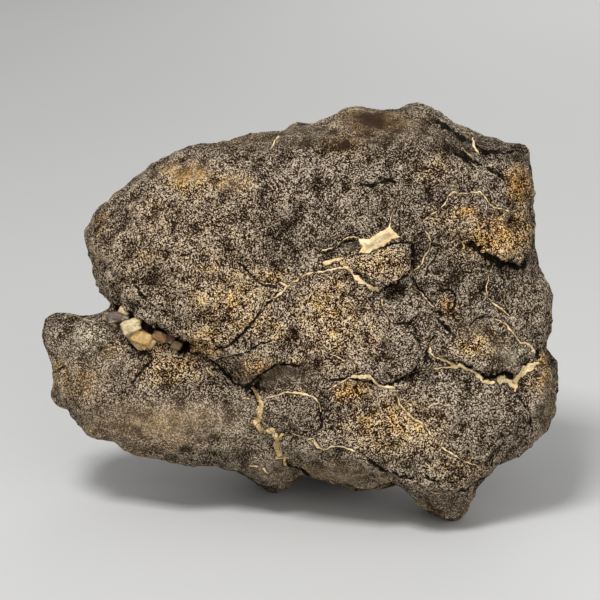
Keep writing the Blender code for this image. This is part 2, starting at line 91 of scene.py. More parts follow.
# Cracks: depth and half width, how far the stone on the left of the path stands above the stone on
# its right, all in millimetres, and the path in portrait pixels
CRACKS = {
    "notch under the main block": (0.9, 0.5, 0.3, [(115, 306), (130, 317), (150, 328), (172, 337),
        (184, 345)]),
    "notch's right end": (1.5, 0.7, 0.0, [(181, 343), (184, 346), (188, 349)]),
    "closed parting": (0.5, 0.17, 0.15, [(188, 349), (205, 357), (214, 363), (222, 370), (235, 383),
        (250, 389)]),
    "long crack, lower end": (0.55, 0.16, 0.4, [(203, 355), (216, 351), (227, 346), (237, 340), (247, 329),
        (257, 317), (267, 305), (278, 295)]),
    "under the long crack": (0.5, 0.16, 0.3, [(206, 363), (226, 358), (244, 353), (262, 344), (275, 339)]),
    "curl above the long crack": (0.35, 0.16, 0.15, [(224, 260), (236, 262), (244, 266), (251, 275),
        (258, 282), (268, 286), (279, 289)]),
    "arc of the left end": (0.35, 0.2, 0.2, [(131, 262), (132, 273), (136, 286), (146, 299), (159, 309),
        (175, 317)]),
    "wedge, lower side": (0.9, 0.3, 0.6, [(375, 289), (383, 290), (395, 283), (405, 275.5)]),
    "wedge, right side": (0.8, 0.3, 0.6, [(405, 275.5), (411, 267), (413, 255), (412.5, 244)]),
    "wedge, left side": (0.4, 0.16, 0.25, [(346, 264), (352, 268), (360, 276), (370, 283), (379, 287)]),
    "wedge, upper side": (0.4, 0.16, -0.2, [(350, 257), (362, 254), (376, 250), (388, 245), (400, 242),
        (412, 243)]),
    "below the wedge": (0.45, 0.16, 0.15, [(380, 293), (381, 303), (384, 312), (394, 324), (402, 323),
        (411, 323), (418, 334)]),
    "right of the wedge": (0.6, 0.2, 0.3, [(412, 278), (418, 289), (427, 299), (438, 312), (444, 317)]),
    "towards the shelf": (0.7, 0.2, 0.3, [(438, 320), (446, 328), (455, 335)]),
    "left of the shelf": (0.45, 0.16, 0.2, [(437, 333), (431, 342), (428, 355), (422, 368)]),
    "under the shelf": (1.0, 0.35, 0.5, [(459, 364), (470, 368), (478, 374), (487, 379), (496, 378),
        (505, 374), (514, 377), (522, 372), (531, 362)]),
    "under the brow": (1.1, 0.45, 0.5, [(466, 244), (480, 249), (485, 255), (496, 259), (503, 263),
        (510, 267), (519, 267), (526, 262)]),
    "round the brow, left": (0.3, 0.2, 0.0, [(452, 238), (458, 232), (466, 230), (474, 236), (478, 246)]),
    "middle": (0.6, 0.2, 0.3, [(330, 380), (345, 378), (358, 379), (372, 382), (385, 386), (393, 383),
        (405, 379), (421, 373)]),
    "over the dark hollow": (0.5, 0.22, 0.3, [(247, 388), (256, 379), (264, 372), (276, 366), (290, 364),
        (304, 366)]),
    "dark hole": (1.6, 0.8, 0.0, [(250, 386), (254, 388), (258, 390)]),
    "round the grey lump": (0.4, 0.2, 0.0, [(262, 396), (264, 406), (262, 416)]),
    "arc over the belly": (0.35, 0.18, 0.1, [(316, 400), (320, 411), (322, 424), (318, 433)]),
    "belly": (0.6, 0.2, 0.3, [(360, 452), (372, 462), (384, 470), (396, 474), (412, 478)]),
    "foot of the belly": (0.5, 0.25, 0.2, [(287, 463), (293, 467), (300, 469), (310, 475), (322, 482)]),
    "chin": (0.5, 0.22, 0.3, [(417, 476), (420, 485), (432, 493), (452, 493), (465, 490), (480, 480),
        (492, 469), (503, 462)]),
    "notch by the right lump": (0.7, 0.35, 0.0, [(545, 349), (540, 352), (537, 358)]),
    "edge of the right lump": (0.3, 0.16, 0.15, [(519, 388), (520, 398), (526, 408), (531, 420),
        (531, 434)]),
    "round lump": (0.35, 0.13, -0.2, [(394, 334), (405, 330), (414, 334), (420, 343), (421, 356),
        (417, 368), (408, 376), (396, 379)]),
    "flakes, upper": (0.3, 0.12, 0.15, [(484, 262), (481, 272), (487, 283), (496, 290), (504, 283),
        (501, 270), (493, 264)]),
    "flakes, lower": (0.3, 0.12, 0.15, [(504, 283), (513, 290), (517, 303), (509, 315), (500, 308),
        (496, 290)]),
    "flakes, left": (0.25, 0.12, 0.15, [(481, 289), (472, 299), (470, 310), (478, 318)]),
    "over the rusty lump": (0.35, 0.14, 0.2, [(431, 296), (438, 290), (448, 290), (455, 296), (455, 306),
        (449, 314)]),
    "rim by the hook": (0.3, 0.13, 0.15, [(440, 240), (438, 252), (432, 262), (426, 272), (424, 282)]),
    "lump's arc": (0.3, 0.16, 0.1, [(350, 416), (353, 404), (361, 395), (372, 391)]),
    "lump's left side": (0.35, 0.14, 0.2, [(332, 388), (327, 400), (325, 413), (331, 428), (340, 442)]),
    "lump's inner arc": (0.25, 0.16, 0.1, [(359, 420), (363, 410), (371, 404)]),
    "below the brow": (0.4, 0.18, 0.15, [(448, 262), (456, 270), (468, 273), (480, 270)]),
    "top right ledge": (0.5, 0.22, 0.25, [(436, 118), (446, 128), (460, 136), (474, 146), (488, 152),
        (504, 154), (520, 150)]),
    "top right, lower ledge": (0.4, 0.2, 0.2, [(458, 150), (472, 162), (488, 168), (502, 176), (508, 188)]),
    "upper left fine crack": (0.25, 0.14, 0.1, [(166, 204), (178, 212), (186, 224), (200, 230),
        (208, 242)]),
    "upper middle": (0.3, 0.14, 0.1, [(282, 236), (290, 246), (300, 250), (312, 246)]),
    "middle left": (0.3, 0.14, 0.1, [(300, 300), (310, 312), (322, 318), (330, 330), (328, 344)]),
    "wing's ridge": (0.2, 0.2, 0.2, [(62, 320), (74, 318), (88, 324), (98, 332), (104, 346), (98, 358)]),
    "wing, low ridge": (0.15, 0.2, 0.2, [(108, 400), (122, 392), (140, 396), (156, 404), (176, 404)]),
    "chin's inner line": (0.3, 0.16, 0.1, [(424, 470), (428, 478), (440, 483), (456, 482), (470, 474)]),
    "wing, left": (0.15, 0.2, 0.15, [(46, 333), (57, 341), (59, 348)]),
    "wing, lower left": (0.2, 0.25, 0.15, [(53, 374), (62, 368), (71, 366)]),
    "wing's root": (0.6, 0.4, 0.5, [(120, 321), (126, 335), (136, 348), (151, 356)]),
    "wing, across": (0.3, 0.3, 0.35, [(131, 386), (140, 372), (150, 362), (160, 356)]),
    "top right": (0.4, 0.25, 0.15, [(452, 150), (461, 157), (470, 164), (476, 172)]),
    "top": (0.3, 0.3, 0.0, [(350, 180), (368, 186), (390, 180), (412, 186)]),
    "right edge": (0.35, 0.2, 0.2, [(487, 284), (480, 292), (470, 296), (462, 304)]),
    "over the shelf": (0.3, 0.13, 0.15, [(467, 335), (470, 325), (476, 318), (490, 316), (501, 322)]),
    "between shelf and brow": (0.35, 0.2, 0.1, [(507, 287), (505, 303), (509, 314)]),
    "under the pale vein": (0.35, 0.16, 0.0, [(318, 249), (322, 254), (328, 252), (336, 249), (341, 244),
        (348, 240), (356, 240)]),
}

# Veins of pale filling: path in portrait pixels with the vein's width in pixels at each place
VEINS = {
    "short vein": [(317, 247, 1.2), (321, 252, 1.8), (327, 250, 1.8), (335, 247, 1.5), (340, 242, 1.5),
        (347, 237, 1.8), (353, 236, 2.0), (359, 238, 2.0), (361, 242, 3.0)],
    "long vein": [(262, 311, 0.8), (267, 302, 1.4), (277, 296, 2.4), (285, 289, 2.4), (292, 283, 2.2),
        (300, 278, 2.4), (307, 274, 2.4), (313, 272, 2.6), (323, 271, 2.2), (331, 269, 2.2),
        (341, 268, 2.4), (347, 268, 3.2), (351, 271, 3.6), (354, 276, 3.8), (360, 281, 4.2),
        (366, 285, 4.4), (372, 288, 5.2), (377, 289, 6.4)],
    "long vein's branch": [(279, 282, 1.0), (284, 285, 1.8), (288, 286, 1.6)],
    "upward vein": [(389, 228, 2.6), (391, 217, 1.6), (393, 210, 1.6), (397, 204, 1.6), (396, 198, 1.0)],
    "upper right vein": [(415, 229, 0.8), (420, 223, 1.5), (427, 218, 1.8), (433, 213, 2.0),
        (440, 209, 1.8), (445, 202, 1.8), (449, 196, 2.0), (453, 193, 2.2), (460, 193, 1.6),
        (469, 193, 1.6), (479, 192, 1.8), (484, 196, 2.0), (488, 201, 2.2), (493, 207, 2.0),
        (500, 209, 1.6), (507, 211, 1.8), (515, 211, 1.4), (521, 209, 0.9)],
    "upper right branch": [(453, 193, 1.8), (455, 188, 1.2), (457, 183, 0.8)],
    "hook by the wedge": [(425, 231, 1.4), (429, 236, 2.2), (431, 243, 1.6), (430, 249, 1.4),
        (425, 256, 1.6), (422, 263, 2.4), (418, 268, 1.6), (414, 272, 1.0)],
    "crack right of the wedge": [(413, 286, 1.0), (420, 293, 1.5), (428, 301, 1.6), (437, 311, 1.4)],
    "below the wedge": [(381, 300, 1.5), (384, 310, 1.7), (392, 322, 1.5)],
    "right vein": [(487, 260, 1.0), (493, 265, 1.5), (489, 275, 1.5), (487, 285, 1.5), (488, 297, 1.8),
        (493, 304, 2.2), (498, 307, 2.2), (504, 310, 2.2), (509, 315, 1.9)],
    "right vein, lower": [(495, 319, 1.0), (507, 325, 2.6), (511, 331, 2.8), (517, 339, 2.4),
        (524, 343, 1.8), (529, 346, 3.0), (532, 351, 6.0)],
    "shelf vein": [(436, 338, 0.9), (431, 343, 1.2), (430, 353, 2.6), (436, 358, 2.8), (446, 361, 3.2),
        (453, 366, 5.0), (459, 367, 5.0), (466, 368, 4.2), (474, 372, 3.6), (479, 379, 3.2),
        (483, 383, 3.0), (492, 383, 3.4), (499, 381, 6.2), (505, 380, 7.6), (511, 383, 5.2),
        (516, 385, 6.0), (520, 378, 6.4), (528, 369, 8.4), (533, 364, 7.6), (539, 363, 2.4)],
    "shelf vein's drop": [(516, 384, 3.0), (516, 391, 1.6)],
    "shelf vein's left arm": [(422, 370, 1.0), (432, 369, 1.6), (443, 368, 2.0), (452, 368, 2.4)],
    "slanting vein": [(398, 396, 1.4), (399, 405, 2.4), (408, 413, 2.8), (415, 419, 2.4), (422, 424, 2.6),
        (428, 429, 2.4), (433, 436, 1.8)],
    "slanting vein, lower": [(438, 445, 1.4), (442, 448, 2.6), (449, 453, 2.4), (459, 458, 2.2),
        (468, 462, 2.0), (480, 466, 1.4)],
    "middle vein": [(324, 394, 1.0), (334, 386, 1.8), (344, 380, 2.0), (353, 377, 2.4), (362, 375, 3.6),
        (369, 376, 4.6), (374, 381, 3.0), (379, 386, 3.2), (384, 387, 4.2), (395, 387, 1.8)],
    "arc vein": [(268, 399, 1.2), (274, 397, 2.4), (281, 395, 2.6), (286, 392, 2.0), (292, 392, 2.4),
        (299, 393, 2.6), (307, 395, 2.4), (314, 398, 2.2), (318, 404, 1.4), (320, 412, 0.9)],
    "arc vein, left": [(239, 401, 1.2), (245, 397, 2.2), (251, 397, 1.4)],
    "belly vein": [(253, 388, 3.0), (258, 394, 5.4), (262, 400, 4.4), (264, 406, 4.0), (260, 413, 6.4),
        (258, 419, 8.4), (260, 426, 8.4), (266, 430, 5.0), (273, 431, 6.4), (278, 436, 8.6),
        (277, 444, 7.4), (279, 451, 8.0), (283, 458, 8.6), (286, 462, 6.4)],
    "belly vein's left spur": [(254, 417, 2.2), (250, 414, 1.0)],
    "lower vein": [(314, 439, 1.6), (317, 444, 3.4), (324, 448, 3.4), (332, 446, 2.8), (341, 447, 2.8),
        (351, 449, 2.4), (360, 453, 1.4), (368, 459, 1.0)],
    "fine vein": [(290, 434, 1.0), (301, 436, 1.4), (311, 438, 1.2), (319, 437, 0.8)],
    "low streak": [(250, 465, 1.0), (256, 466, 2.0), (263, 468, 2.0), (269, 472, 1.4)],
    "top streak": [(271, 149, 1.0), (276, 142, 2.2), (281, 135, 1.4)],
    "top right streak": [(473, 138, 2.6), (473, 147, 2.8), (479, 155, 1.2)],
    "top right fine streak": [(461, 149, 1.0), (468, 155, 1.6), (473, 161, 1.0)],
    "chin": [(416, 470, 0.7), (420, 484, 1.1), (428, 491, 1.3), (436, 493, 1.3), (448, 493, 1.3),
        (455, 497, 0.8)],
    "over the middle": [(331, 354, 1.2), (338, 357, 1.7), (345, 361, 1.8), (351, 361, 1.6), (355, 366, 1.6),
        (355, 372, 1.4)],
    "small ring": [(451, 242, 1.2), (457, 239, 1.6), (463, 243, 1.6), (464, 248, 1.5), (458, 251, 1.2)],
    "faint line": [(385, 338, 0.7), (389, 353, 1.0), (384, 368, 0.7)],
    "parting, left end": [(107, 318, 1.4), (112, 322, 2.0), (118, 326, 1.2)],
    "parting, low end": [(203, 364, 1.0), (208, 370, 2.4), (213, 375, 2.2), (217, 379, 1.2)],
    "cheek": [(506, 288, 0.8), (505, 297, 1.2), (507, 308, 1.0)],
    "wing, left": [(47, 335, 0.9), (56, 341, 1.4), (58, 346, 1.0)],
}

# Wider patches of pale filling, as outlines in portrait pixels
PATCHES = {
    "pale patch": [(360, 239), (369, 240), (373, 236), (380, 232), (387, 228), (390, 226), (392, 230),
        (399, 234), (401, 236), (393, 239), (387, 243), (383, 246), (373, 249), (369, 253), (358, 253),
        (362, 247), (360, 242)],
    "small patch": [(323, 263), (325, 261), (333, 259), (341, 257), (345, 257), (340, 261), (333, 262),
        (329, 265), (324, 265)],
}


def to_plan(pixels):
    """Portrait pixels as (across, up) in the face frame, in millimetres."""
    pixels = np.asarray(pixels, float)
    across = (pixels[..., 0] - PORTRAIT_CENTRE[0]) * PIXEL
    up = (PORTRAIT_CENTRE[1] - pixels[..., 1]) * PIXEL
    return np.stack([across, up], axis=-1)


FACE_TURNED = np.array(Matrix.Rotation(-LEAN, 3, "X"))  # turns face-frame directions to the world's
EYE = FACE_ORIGIN + Matrix.Rotation(-LEAN, 3, "X") @ Vector((0.0, -VIEW_DISTANCE, 0.0)) * MM


def plan_of(places):
    """World places in metres as (across, up) in the face frame, in millimetres."""
    held = (places - np.array(FACE_ORIGIN)) @ FACE_TURNED / MM
    spread = 1.0 + held[:, 1:2] / VIEW_DISTANCE
    return held[:, [0, 2]] / spread


def read_points(mesh):
    """The places and the outward directions of a mesh's points."""
    places = np.empty(len(mesh.vertices) * 3)
    mesh.vertices.foreach_get("co", places)
    facing = np.empty(len(mesh.vertices) * 3)
    mesh.vertices.foreach_get("normal", facing)
    return places.reshape(-1, 3), facing.reshape(-1, 3)


def write_points(mesh, places):
    mesh.vertices.foreach_set("co", places.ravel())
    mesh.update()


def add_object(name, data):
    obj = bpy.data.objects.new(name, data)
    bpy.context.scene.collection.objects.link(obj)
    return obj


def applied(obj, name):
    """A new object with the mesh that the modifiers on obj give. obj is removed."""
    graph = bpy.context.evaluated_depsgraph_get()
    mesh = bpy.data.meshes.new_from_object(obj.evaluated_get(graph))
    bpy.data.objects.remove(obj)
    mesh.name = name
    return add_object(name, mesh)


def even_skin(node):
    """A copy of the node's surface in an even grain, with its facets worn off."""
    body = add_object("skin", node.data.copy())
    grain = body.modifiers.new("grain", "REMESH")
    grain.mode = "VOXEL"
    grain.voxel_size = SKIN_GRAIN * MM
    wear = body.modifiers.new("wear", "SMOOTH")
    wear.factor = 0.5
    wear.iterations = SKIN_WEAR
    return applied(body, "skin")


def ripples(places, length, shift=0.0):
    """Smooth noise between about -1 and 1 at the places, with waves of that length."""
    scaled = places / length + shift
    return np.array([noise.noise(p, noise_basis="PERLIN_ORIGINAL") for p in scaled.tolist()])


def strayed(plan, strays):
    """Places of the plan pushed about by waves, which are rows of length, reach and two shifts."""
    flat = np.column_stack([plan, np.zeros(len(plan))])
    drawn = plan.copy()
    for length, reach, across, up in strays:
        drawn += reach * np.column_stack([ripples(flat, length, across), ripples(flat, length, up)])
    return drawn


# The strokes are drawn by an unsteady hand: length and reach of its waves in millimetres, and their
# shifts across and up
HAND_STRAY = [(2.2, 0.25, 0.0, 40.0), (0.8, 0.19, 80.0, 120.0)]
HAND_SWELL = [(1.2, 0.95, 160.0), (0.55, 0.7, 200.0)]  # length, share of a stroke's width, shift
RAGGED_EDGE = (0.42, 0.07)  # length and reach of the waves in the filling's edge
CRACK_TAPER = 0.8  # share of a path's first and last stretch over which its crack tapers
CRACK_END = 0.25  # share of its depth that a crack has at its ends
SHALLOW = 0.3  # millimetres; a crack this shallow has gaps, and one twice as deep has none
GAP_WAVE = 2.4  # the gaps come and go in waves of this length,
GAP_LEVEL = 0.75  # about this share of the depth,
GAP_SWING = 1.6  # with this swing,
GAP_LEAST = 0.15  # and leave at least this share of it
VEIN_HALF = 0.44  # half the width of a vein, as a share of the width that its path gives
OUTSIDE = -9.0  # stands for a place that is far from all filling


class Strokes:
    """How far each place of the plan lies from the cracks, veins and patches."""

    def __init__(self, plan):
        flat = np.column_stack([plan, np.zeros(len(plan))])
        self.drawn = strayed(plan, HAND_STRAY)
        self.swell = np.ones(len(plan))
        for length, share, shift in HAND_SWELL:
            self.swell += share * ripples(flat, length, shift)
        self.ragged = RAGGED_EDGE[1] * ripples(flat, RAGGED_EDGE[0], 320.0)
        self.open = np.clip(GAP_LEVEL + GAP_SWING * ripples(flat, GAP_WAVE, 280.0), GAP_LEAST, 1.0)

    def from_path(self, path):
        """Distance to the path, how far along its points the nearest place is, and the side: 1 on
        the left of the path, -1 on its right."""
        nearest = np.full(len(self.drawn), np.inf)
        stop = np.zeros(len(self.drawn))
        side = np.ones(len(self.drawn))
        for number, (start, end) in enumerate(zip(path, path[1:])):
            run = end - start
            off = self.drawn - start
            share = np.clip(off @ run / (run @ run), 0.0, 1.0)
            distance = np.linalg.norm(off - share[:, None] * run, axis=1)
            closer = distance < nearest
            nearest[closer] = distance[closer]
            stop[closer] = number + share[closer]
            side[closer] = np.sign(run[0] * off[:, 1] - run[1] * off[:, 0])[closer]
        return nearest, stop, side

    def near(self, reach):
        """True where a stroke lies within reach."""
        close = self.filling() > -reach
        paths = [path for _, _, _, path in CRACKS.values()] + list(VEINS.values())
        for path in paths + [patch + patch[:1] for patch in PATCHES.values()]:
            close |= self.from_path(to_plan(np.array(path)[:, :2]))[0] < reach
        return close

    def cracks(self):
        """How deep each place is cut by the cracks, and how far their overhanging sides lift it."""
        depth = np.zeros(len(self.drawn))
        lift = np.zeros(len(self.drawn))
        for deepest, half_width, overhang, path in CRACKS.values():
            distance, stop, side = self.from_path(to_plan(path))
            ends = np.clip(np.minimum(stop, len(path) - 1 - stop) / CRACK_TAPER, 0.0, 1.0)
            profile = np.exp(-((distance / (half_width * self.swell)) ** 2))
            broken = np.maximum(self.open, np.clip((deepest - SHALLOW) / SHALLOW, 0.0, 1.0))
            tapered = CRACK_END + (1.0 - CRACK_END) * ends
            depth = np.maximum(depth, deepest * profile * tapered * broken)
            step = np.tanh(distance * side / LIP) * np.exp(-((distance / LIP_REACH) ** 2))
            lift += 0.5 * overhang * step * ends
        return depth, lift

    def filling(self):
        """How deep inside the pale filling each place is, in millimetres. Negative is outside."""
        inside = np.full(len(self.drawn), OUTSIDE)
        for path in VEINS.values():
            path = np.array(path, float)
            distance, stop, _ = self.from_path(to_plan(path[:, :2]))
            half = np.interp(stop, np.arange(len(path)), path[:, 2]) * PIXEL * VEIN_HALF
            inside = np.maximum(inside, half * self.swell - THINNING - distance)
        for outline in PATCHES.values():
            loop = to_plan(outline + outline[:1])
            distance = self.from_path(loop)[0]
            inside = np.maximum(inside, np.where(self.within(loop), distance, -distance))
        return inside + self.ragged

    def within(self, loop):
        """True inside the closed loop, by counting the sides that a ray to the right crosses."""
        x, y = self.drawn.T
        odd = np.zeros(len(x), bool)
        for (x0, y0), (x1, y1) in zip(loop, loop[1:]):
            spans = (y0 > y) != (y1 > y)
            crossing = x0 + (y - y0) * (x1 - x0) / (y1 - y0 if y1 != y0 else 1.0)
            odd ^= spans & (x < crossing)
        return odd


@contextmanager
def opened(mesh):
    """The mesh's points, edges and faces to work on, written back to it at the end."""
    shape = bmesh.new()
    shape.from_mesh(mesh)
    shape.verts.ensure_lookup_table()
    yield shape
    shape.to_mesh(mesh)
    shape.free()


def refined(mesh, chosen):
    """Cuts each face of the mesh that has a chosen point into four."""
    with opened(mesh) as shape:
        picked = {face for vert in shape.verts if chosen[vert.index] for face in vert.link_faces}
        edges = {edge for face in picked for edge in face.edges}
        bmesh.ops.subdivide_edges(shape, edges=list(edges), cuts=1, use_grid_fill=True)
        bmesh.ops.triangulate(shape, faces=[face for face in shape.faces if len(face.verts) > 4])


def smoothed(mesh, rounds, chosen):
    """Smooths the chosen points of the mesh that many times."""
    with opened(mesh) as shape:
        worn = [shape.verts[number] for number in np.flatnonzero(chosen)]
        for _ in range(rounds):
            bmesh.ops.smooth_vert(
                shape, verts=worn, factor=0.5, use_axis_x=True, use_axis_y=True, use_axis_z=True
            )


def close_parting(mesh):
    """Wears away the groove along the closed stretch of the parting."""
    places, facing = read_points(mesh)
    distance = Strokes(plan_of(places)).from_path(to_plan(CLOSED_PARTING))[0]
    chosen = (distance < CLOSED_REACH) & (towards_viewer(places, facing) > CLOSED_TURN)
    smoothed(mesh, CLOSED_WEAR, chosen)


def seen_from_front(mesh, facing_viewer):
    """True for the points that the viewer sees, nothing of the stone being in the way."""
    shape = bmesh.new()
    shape.from_mesh(mesh)
    tree = BVHTree.FromBMesh(shape)
    seen = np.zeros(len(mesh.vertices), bool)
    for vert in shape.verts:
        if facing_viewer[vert.index] <= 0:
            continue
        way = vert.co - EYE
        hit = tree.ray_cast(EYE, way)[0]
        seen[vert.index] = hit is not None and (hit - EYE).length > way.length - SIGHT_SLACK * MM
    shape.free()
    return seen


def towards_viewer(places, facing):
    """How squarely each point faces the viewer, from -1 to 1."""
    way = np.array(EYE) - places
    return (facing * way).sum(axis=1) / np.linalg.norm(way, axis=1)


# Natural unevenness of the skin: length of the waves and their height in millimetres
SKIN_WAVES = [(7.0, 0.6), (3.4, 0.68), (1.9, 0.52), (1.15, 0.28)]
SOFT_SHARE = 0.6  # each wave is the sum of a soft one
RIDGED_SHARE = 0.9  # and of one with sharp ridges,
RIDGE_LEVEL = 0.28  # which leaves the skin where it was on the whole
FINE_WAVE = 4.0  # waves shorter than this also paint light and shade into the stone's colour: painted shade in their hollows, painted light on their crests
LIP = 0.16  # half the width over which the stone steps down at a crack
LIP_REACH = 2.6  # how far from a crack its overhanging side still stands up
GROOVE = 0.24  # the stone beside and under the filling lies this much lower
GROOVE_RIM = 0.14  # and that hollow reaches this far past the filling's edge
GROOVE_SLOPE = 0.6  # share of the rim over which it gets to its full depth
SHADE_BESIDE_REACH = 0.26  # painted shade darkens the stone this near to the filling
CRACK_TURN = 0.25  # the cracks fade where the stone faces the viewer less squarely than this
FILLING_TURN = 0.05  # and the filling ends here
FEET = 0.6  # millimetres; below this height the skin keeps to the flats that the stone stands on
THINNING = 0.05  # the veins are this much narrower on each side than they are drawn
FILLING_RISE = 0.05  # the filling's crown stands this far above the stone's surface
FILLING_SLOPE = 0.12  # width of the filling's rounded shoulder
FILLING_HEM = 0.16  # the filling's sheet goes on this far past its edge, dipping into the stone
FILLING_DIP = 3.2  # millimetres that the hem dips for each millimetre outwards
FILLING_GRIT = (0.9, 0.06)  # length and height of the filling's own unevenness
FILLING_WALL = 0.25  # thickness of the filling's sheet
BLOCKY_REACH = 2.0  # the filling breaks into blocks within this of the belly vein's middle


# Small dents and swellings of the outline: place and radius in portrait pixels, push to the right and
# upwards in millimetres
DENTS = [
    ((545, 348), 7, (-1.4, 0.0)), ((556, 372), 7, (0.3, 0.0)), ((543, 264), 16, (-0.7, 0.0)),
    ((508, 136), 9, (-0.5, -0.8)), ((486, 131), 8, (-0.2, -0.4)), ((399, 103), 9, (0.0, -0.6)),
    ((368, 103), 9, (0.0, -0.6)), ((281, 127), 6, (0.0, -0.8)), ((316, 118), 8, (0.0, -0.5)),
    ((68, 412), 7, (0.5, 0.6)), ((50, 382), 6, (0.5, 0.0)), ((41, 352), 5, (0.4, 0.0)),
    ((160, 156), 7, (0.2, -0.4)), ((192, 142), 6, (0.0, 0.4)), ((124, 184), 6, (0.3, -0.3)),
    ((538, 243), 9, (-0.6, 0.0)), ((526, 145), 8, (0.6, 0.5)), ((381, 107), 8, (0.0, -0.4)),
    ((351, 104), 8, (0.0, -0.4)), ((559, 394), 14, (-0.5, 0.0)), ((72, 414), 5, (-0.5, -0.4)),
    ((100, 442), 5, (-0.3, -0.5)), ((112, 446), 5, (0.3, 0.5)), ((141, 461), 6, (0.0, -0.4)),
]


def waves(places):
    """Height of the natural unevenness at the places, and of its short waves, in millimetres."""
    held = places / MM
    height = np.zeros(len(held))
    fine = np.zeros(len(held))
    for length, rise in SKIN_WAVES:
        soft = SOFT_SHARE * ripples(held, length, length)
        ridged = RIDGED_SHARE * (RIDGE_LEVEL - np.abs(ripples(held, length, -length)))
        wave = rise * (soft + ridged)
        height += wave
        if length < FINE_WAVE:
            fine += wave
    return height, fine


def dented(places):
    """The places moved by the dents of the outline."""
    plan = plan_of(places)
    moved = places.copy()
    for middle, radius, push in DENTS:
        off = (plan - to_plan(middle)) / (radius * PIXEL)
        share = np.exp(-(off**2).sum(axis=1))
        way = FACE_TURNED @ np.array([push[0], 0.0, push[1]])
        moved += share[:, None] * way * MM
    return moved


def worked_skin(node):
    """The stone's skin, refined on the face and at its strokes."""
    skin = even_skin(node)
    places, facing = read_points(skin.data)
    refined(skin.data, towards_viewer(places, facing) > FACE_TURN)
    smoothed(skin.data, FACE_WEAR, np.ones(len(skin.data.vertices), bool))
    close_parting(skin.data)
    places, facing = read_points(skin.data)
    on_face = towards_viewer(places, facing) > 0.0
    refined(skin.data, on_face & Strokes(plan_of(places)).near(STROKE_REACH))
    places, facing = read_points(skin.data)
    on_face = towards_viewer(places, facing) > 0.0
    refined(skin.data, on_face & (np.abs(Strokes(plan_of(places)).filling()) < EDGE_REACH))
    return skin


def fading(turn):
    """1 on the face that is seen, falling to 0 where the stone faces the viewer less than turn."""
    return np.where(seen, np.clip(square / turn, 0.0, 1.0), 0.0)


skin = worked_skin(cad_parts["stone"])
places, facing = read_points(skin.data)
square = towards_viewer(places, facing)
seen = seen_from_front(skin.data, square)
plan = plan_of(places)
strokes = Strokes(plan)
cracks, lift = (height * fading(CRACK_TURN) for height in strokes.cracks())
filling = np.where(seen & (square > FILLING_TURN), strokes.filling(), OUTSIDE)
groove = GROOVE * np.clip((filling + GROOVE_RIM) / (GROOVE_SLOPE * GROOVE_RIM), 0.0, 1.0)
wave_height, fine_waves = waves(places)
rough = dented(places + facing * ((wave_height + lift) * MM)[:, None])
rough[:, 2] = np.where(places[:, 2] < FEET * MM, places[:, 2], rough[:, 2])


def colour(red, green, blue):
    """A colour as a picture's 0 to 255 values, for a shader."""
    shares = [value / 255.0 for value in (red, green, blue)]
    linear = [s / 12.92 if s <= 0.04045 else ((s + 0.055) / 1.055) ** 2.4 for s in shares]
    return (*linear, 1.0)


def set_attribute(mesh, name, values):
    layer = mesh.attributes.new(name, "FLOAT", "POINT")
    layer.data.foreach_set("value", np.asarray(values, np.float32))


def filling_piece():
    """The pale filling: the skin inside the veins and patches, raised to a soft crown."""
    belly = to_plan(np.array(VEINS["belly vein"])[:, :2])
    blocky = np.clip(BLOCKY_REACH - strokes.from_path(belly)[0], 0.0, 1.0)
    crown = FILLING_RISE * (1.0 - np.exp(-np.maximum(filling, 0.0) / FILLING_SLOPE))
    grit = FILLING_GRIT[1] * ripples(places / MM, FILLING_GRIT[0], 240.0)
    height = np.where(filling > 0, crown + grit, FILLING_DIP * filling + grit)
    mesh = skin.data.copy()
    mesh.name = "crack_filling"
    write_points(mesh, rough + facing * (height * MM)[:, None])
    set_attribute(mesh, "inside", filling)
    set_attribute(mesh, "blocky", blocky)
    with opened(mesh) as shape:
        away = [shape.verts[number] for number in np.flatnonzero(filling < -FILLING_HEM)]
        bmesh.ops.delete(shape, geom=away, context="VERTS")
    piece = add_object("crack_filling", mesh)
    wall = piece.modifiers.new("wall", "SOLIDIFY")
    wall.thickness = FILLING_WALL * MM
    wall.offset = -1.0
    return applied(piece, "crack_filling")


crack_filling = filling_piece()
write_points(skin.data, rough - facing * ((cracks + groove) * MM)[:, None])
# The cracks' depth, which the stone's colour turns into painted shade
set_attribute(skin.data, "crack", cracks)
# Painted light and shade of the short waves: low in their hollows, high on their crests
set_attribute(skin.data, "relief_shade", np.clip(0.5 + fine_waves, 0.0, 1.0))
# Painted shadow along the filling's edge
set_attribute(skin.data, "shade_beside_filling", np.clip(1.0 + filling / SHADE_BESIDE_REACH, 0.0, 1.0))
skin.name = "meteorite_stone"

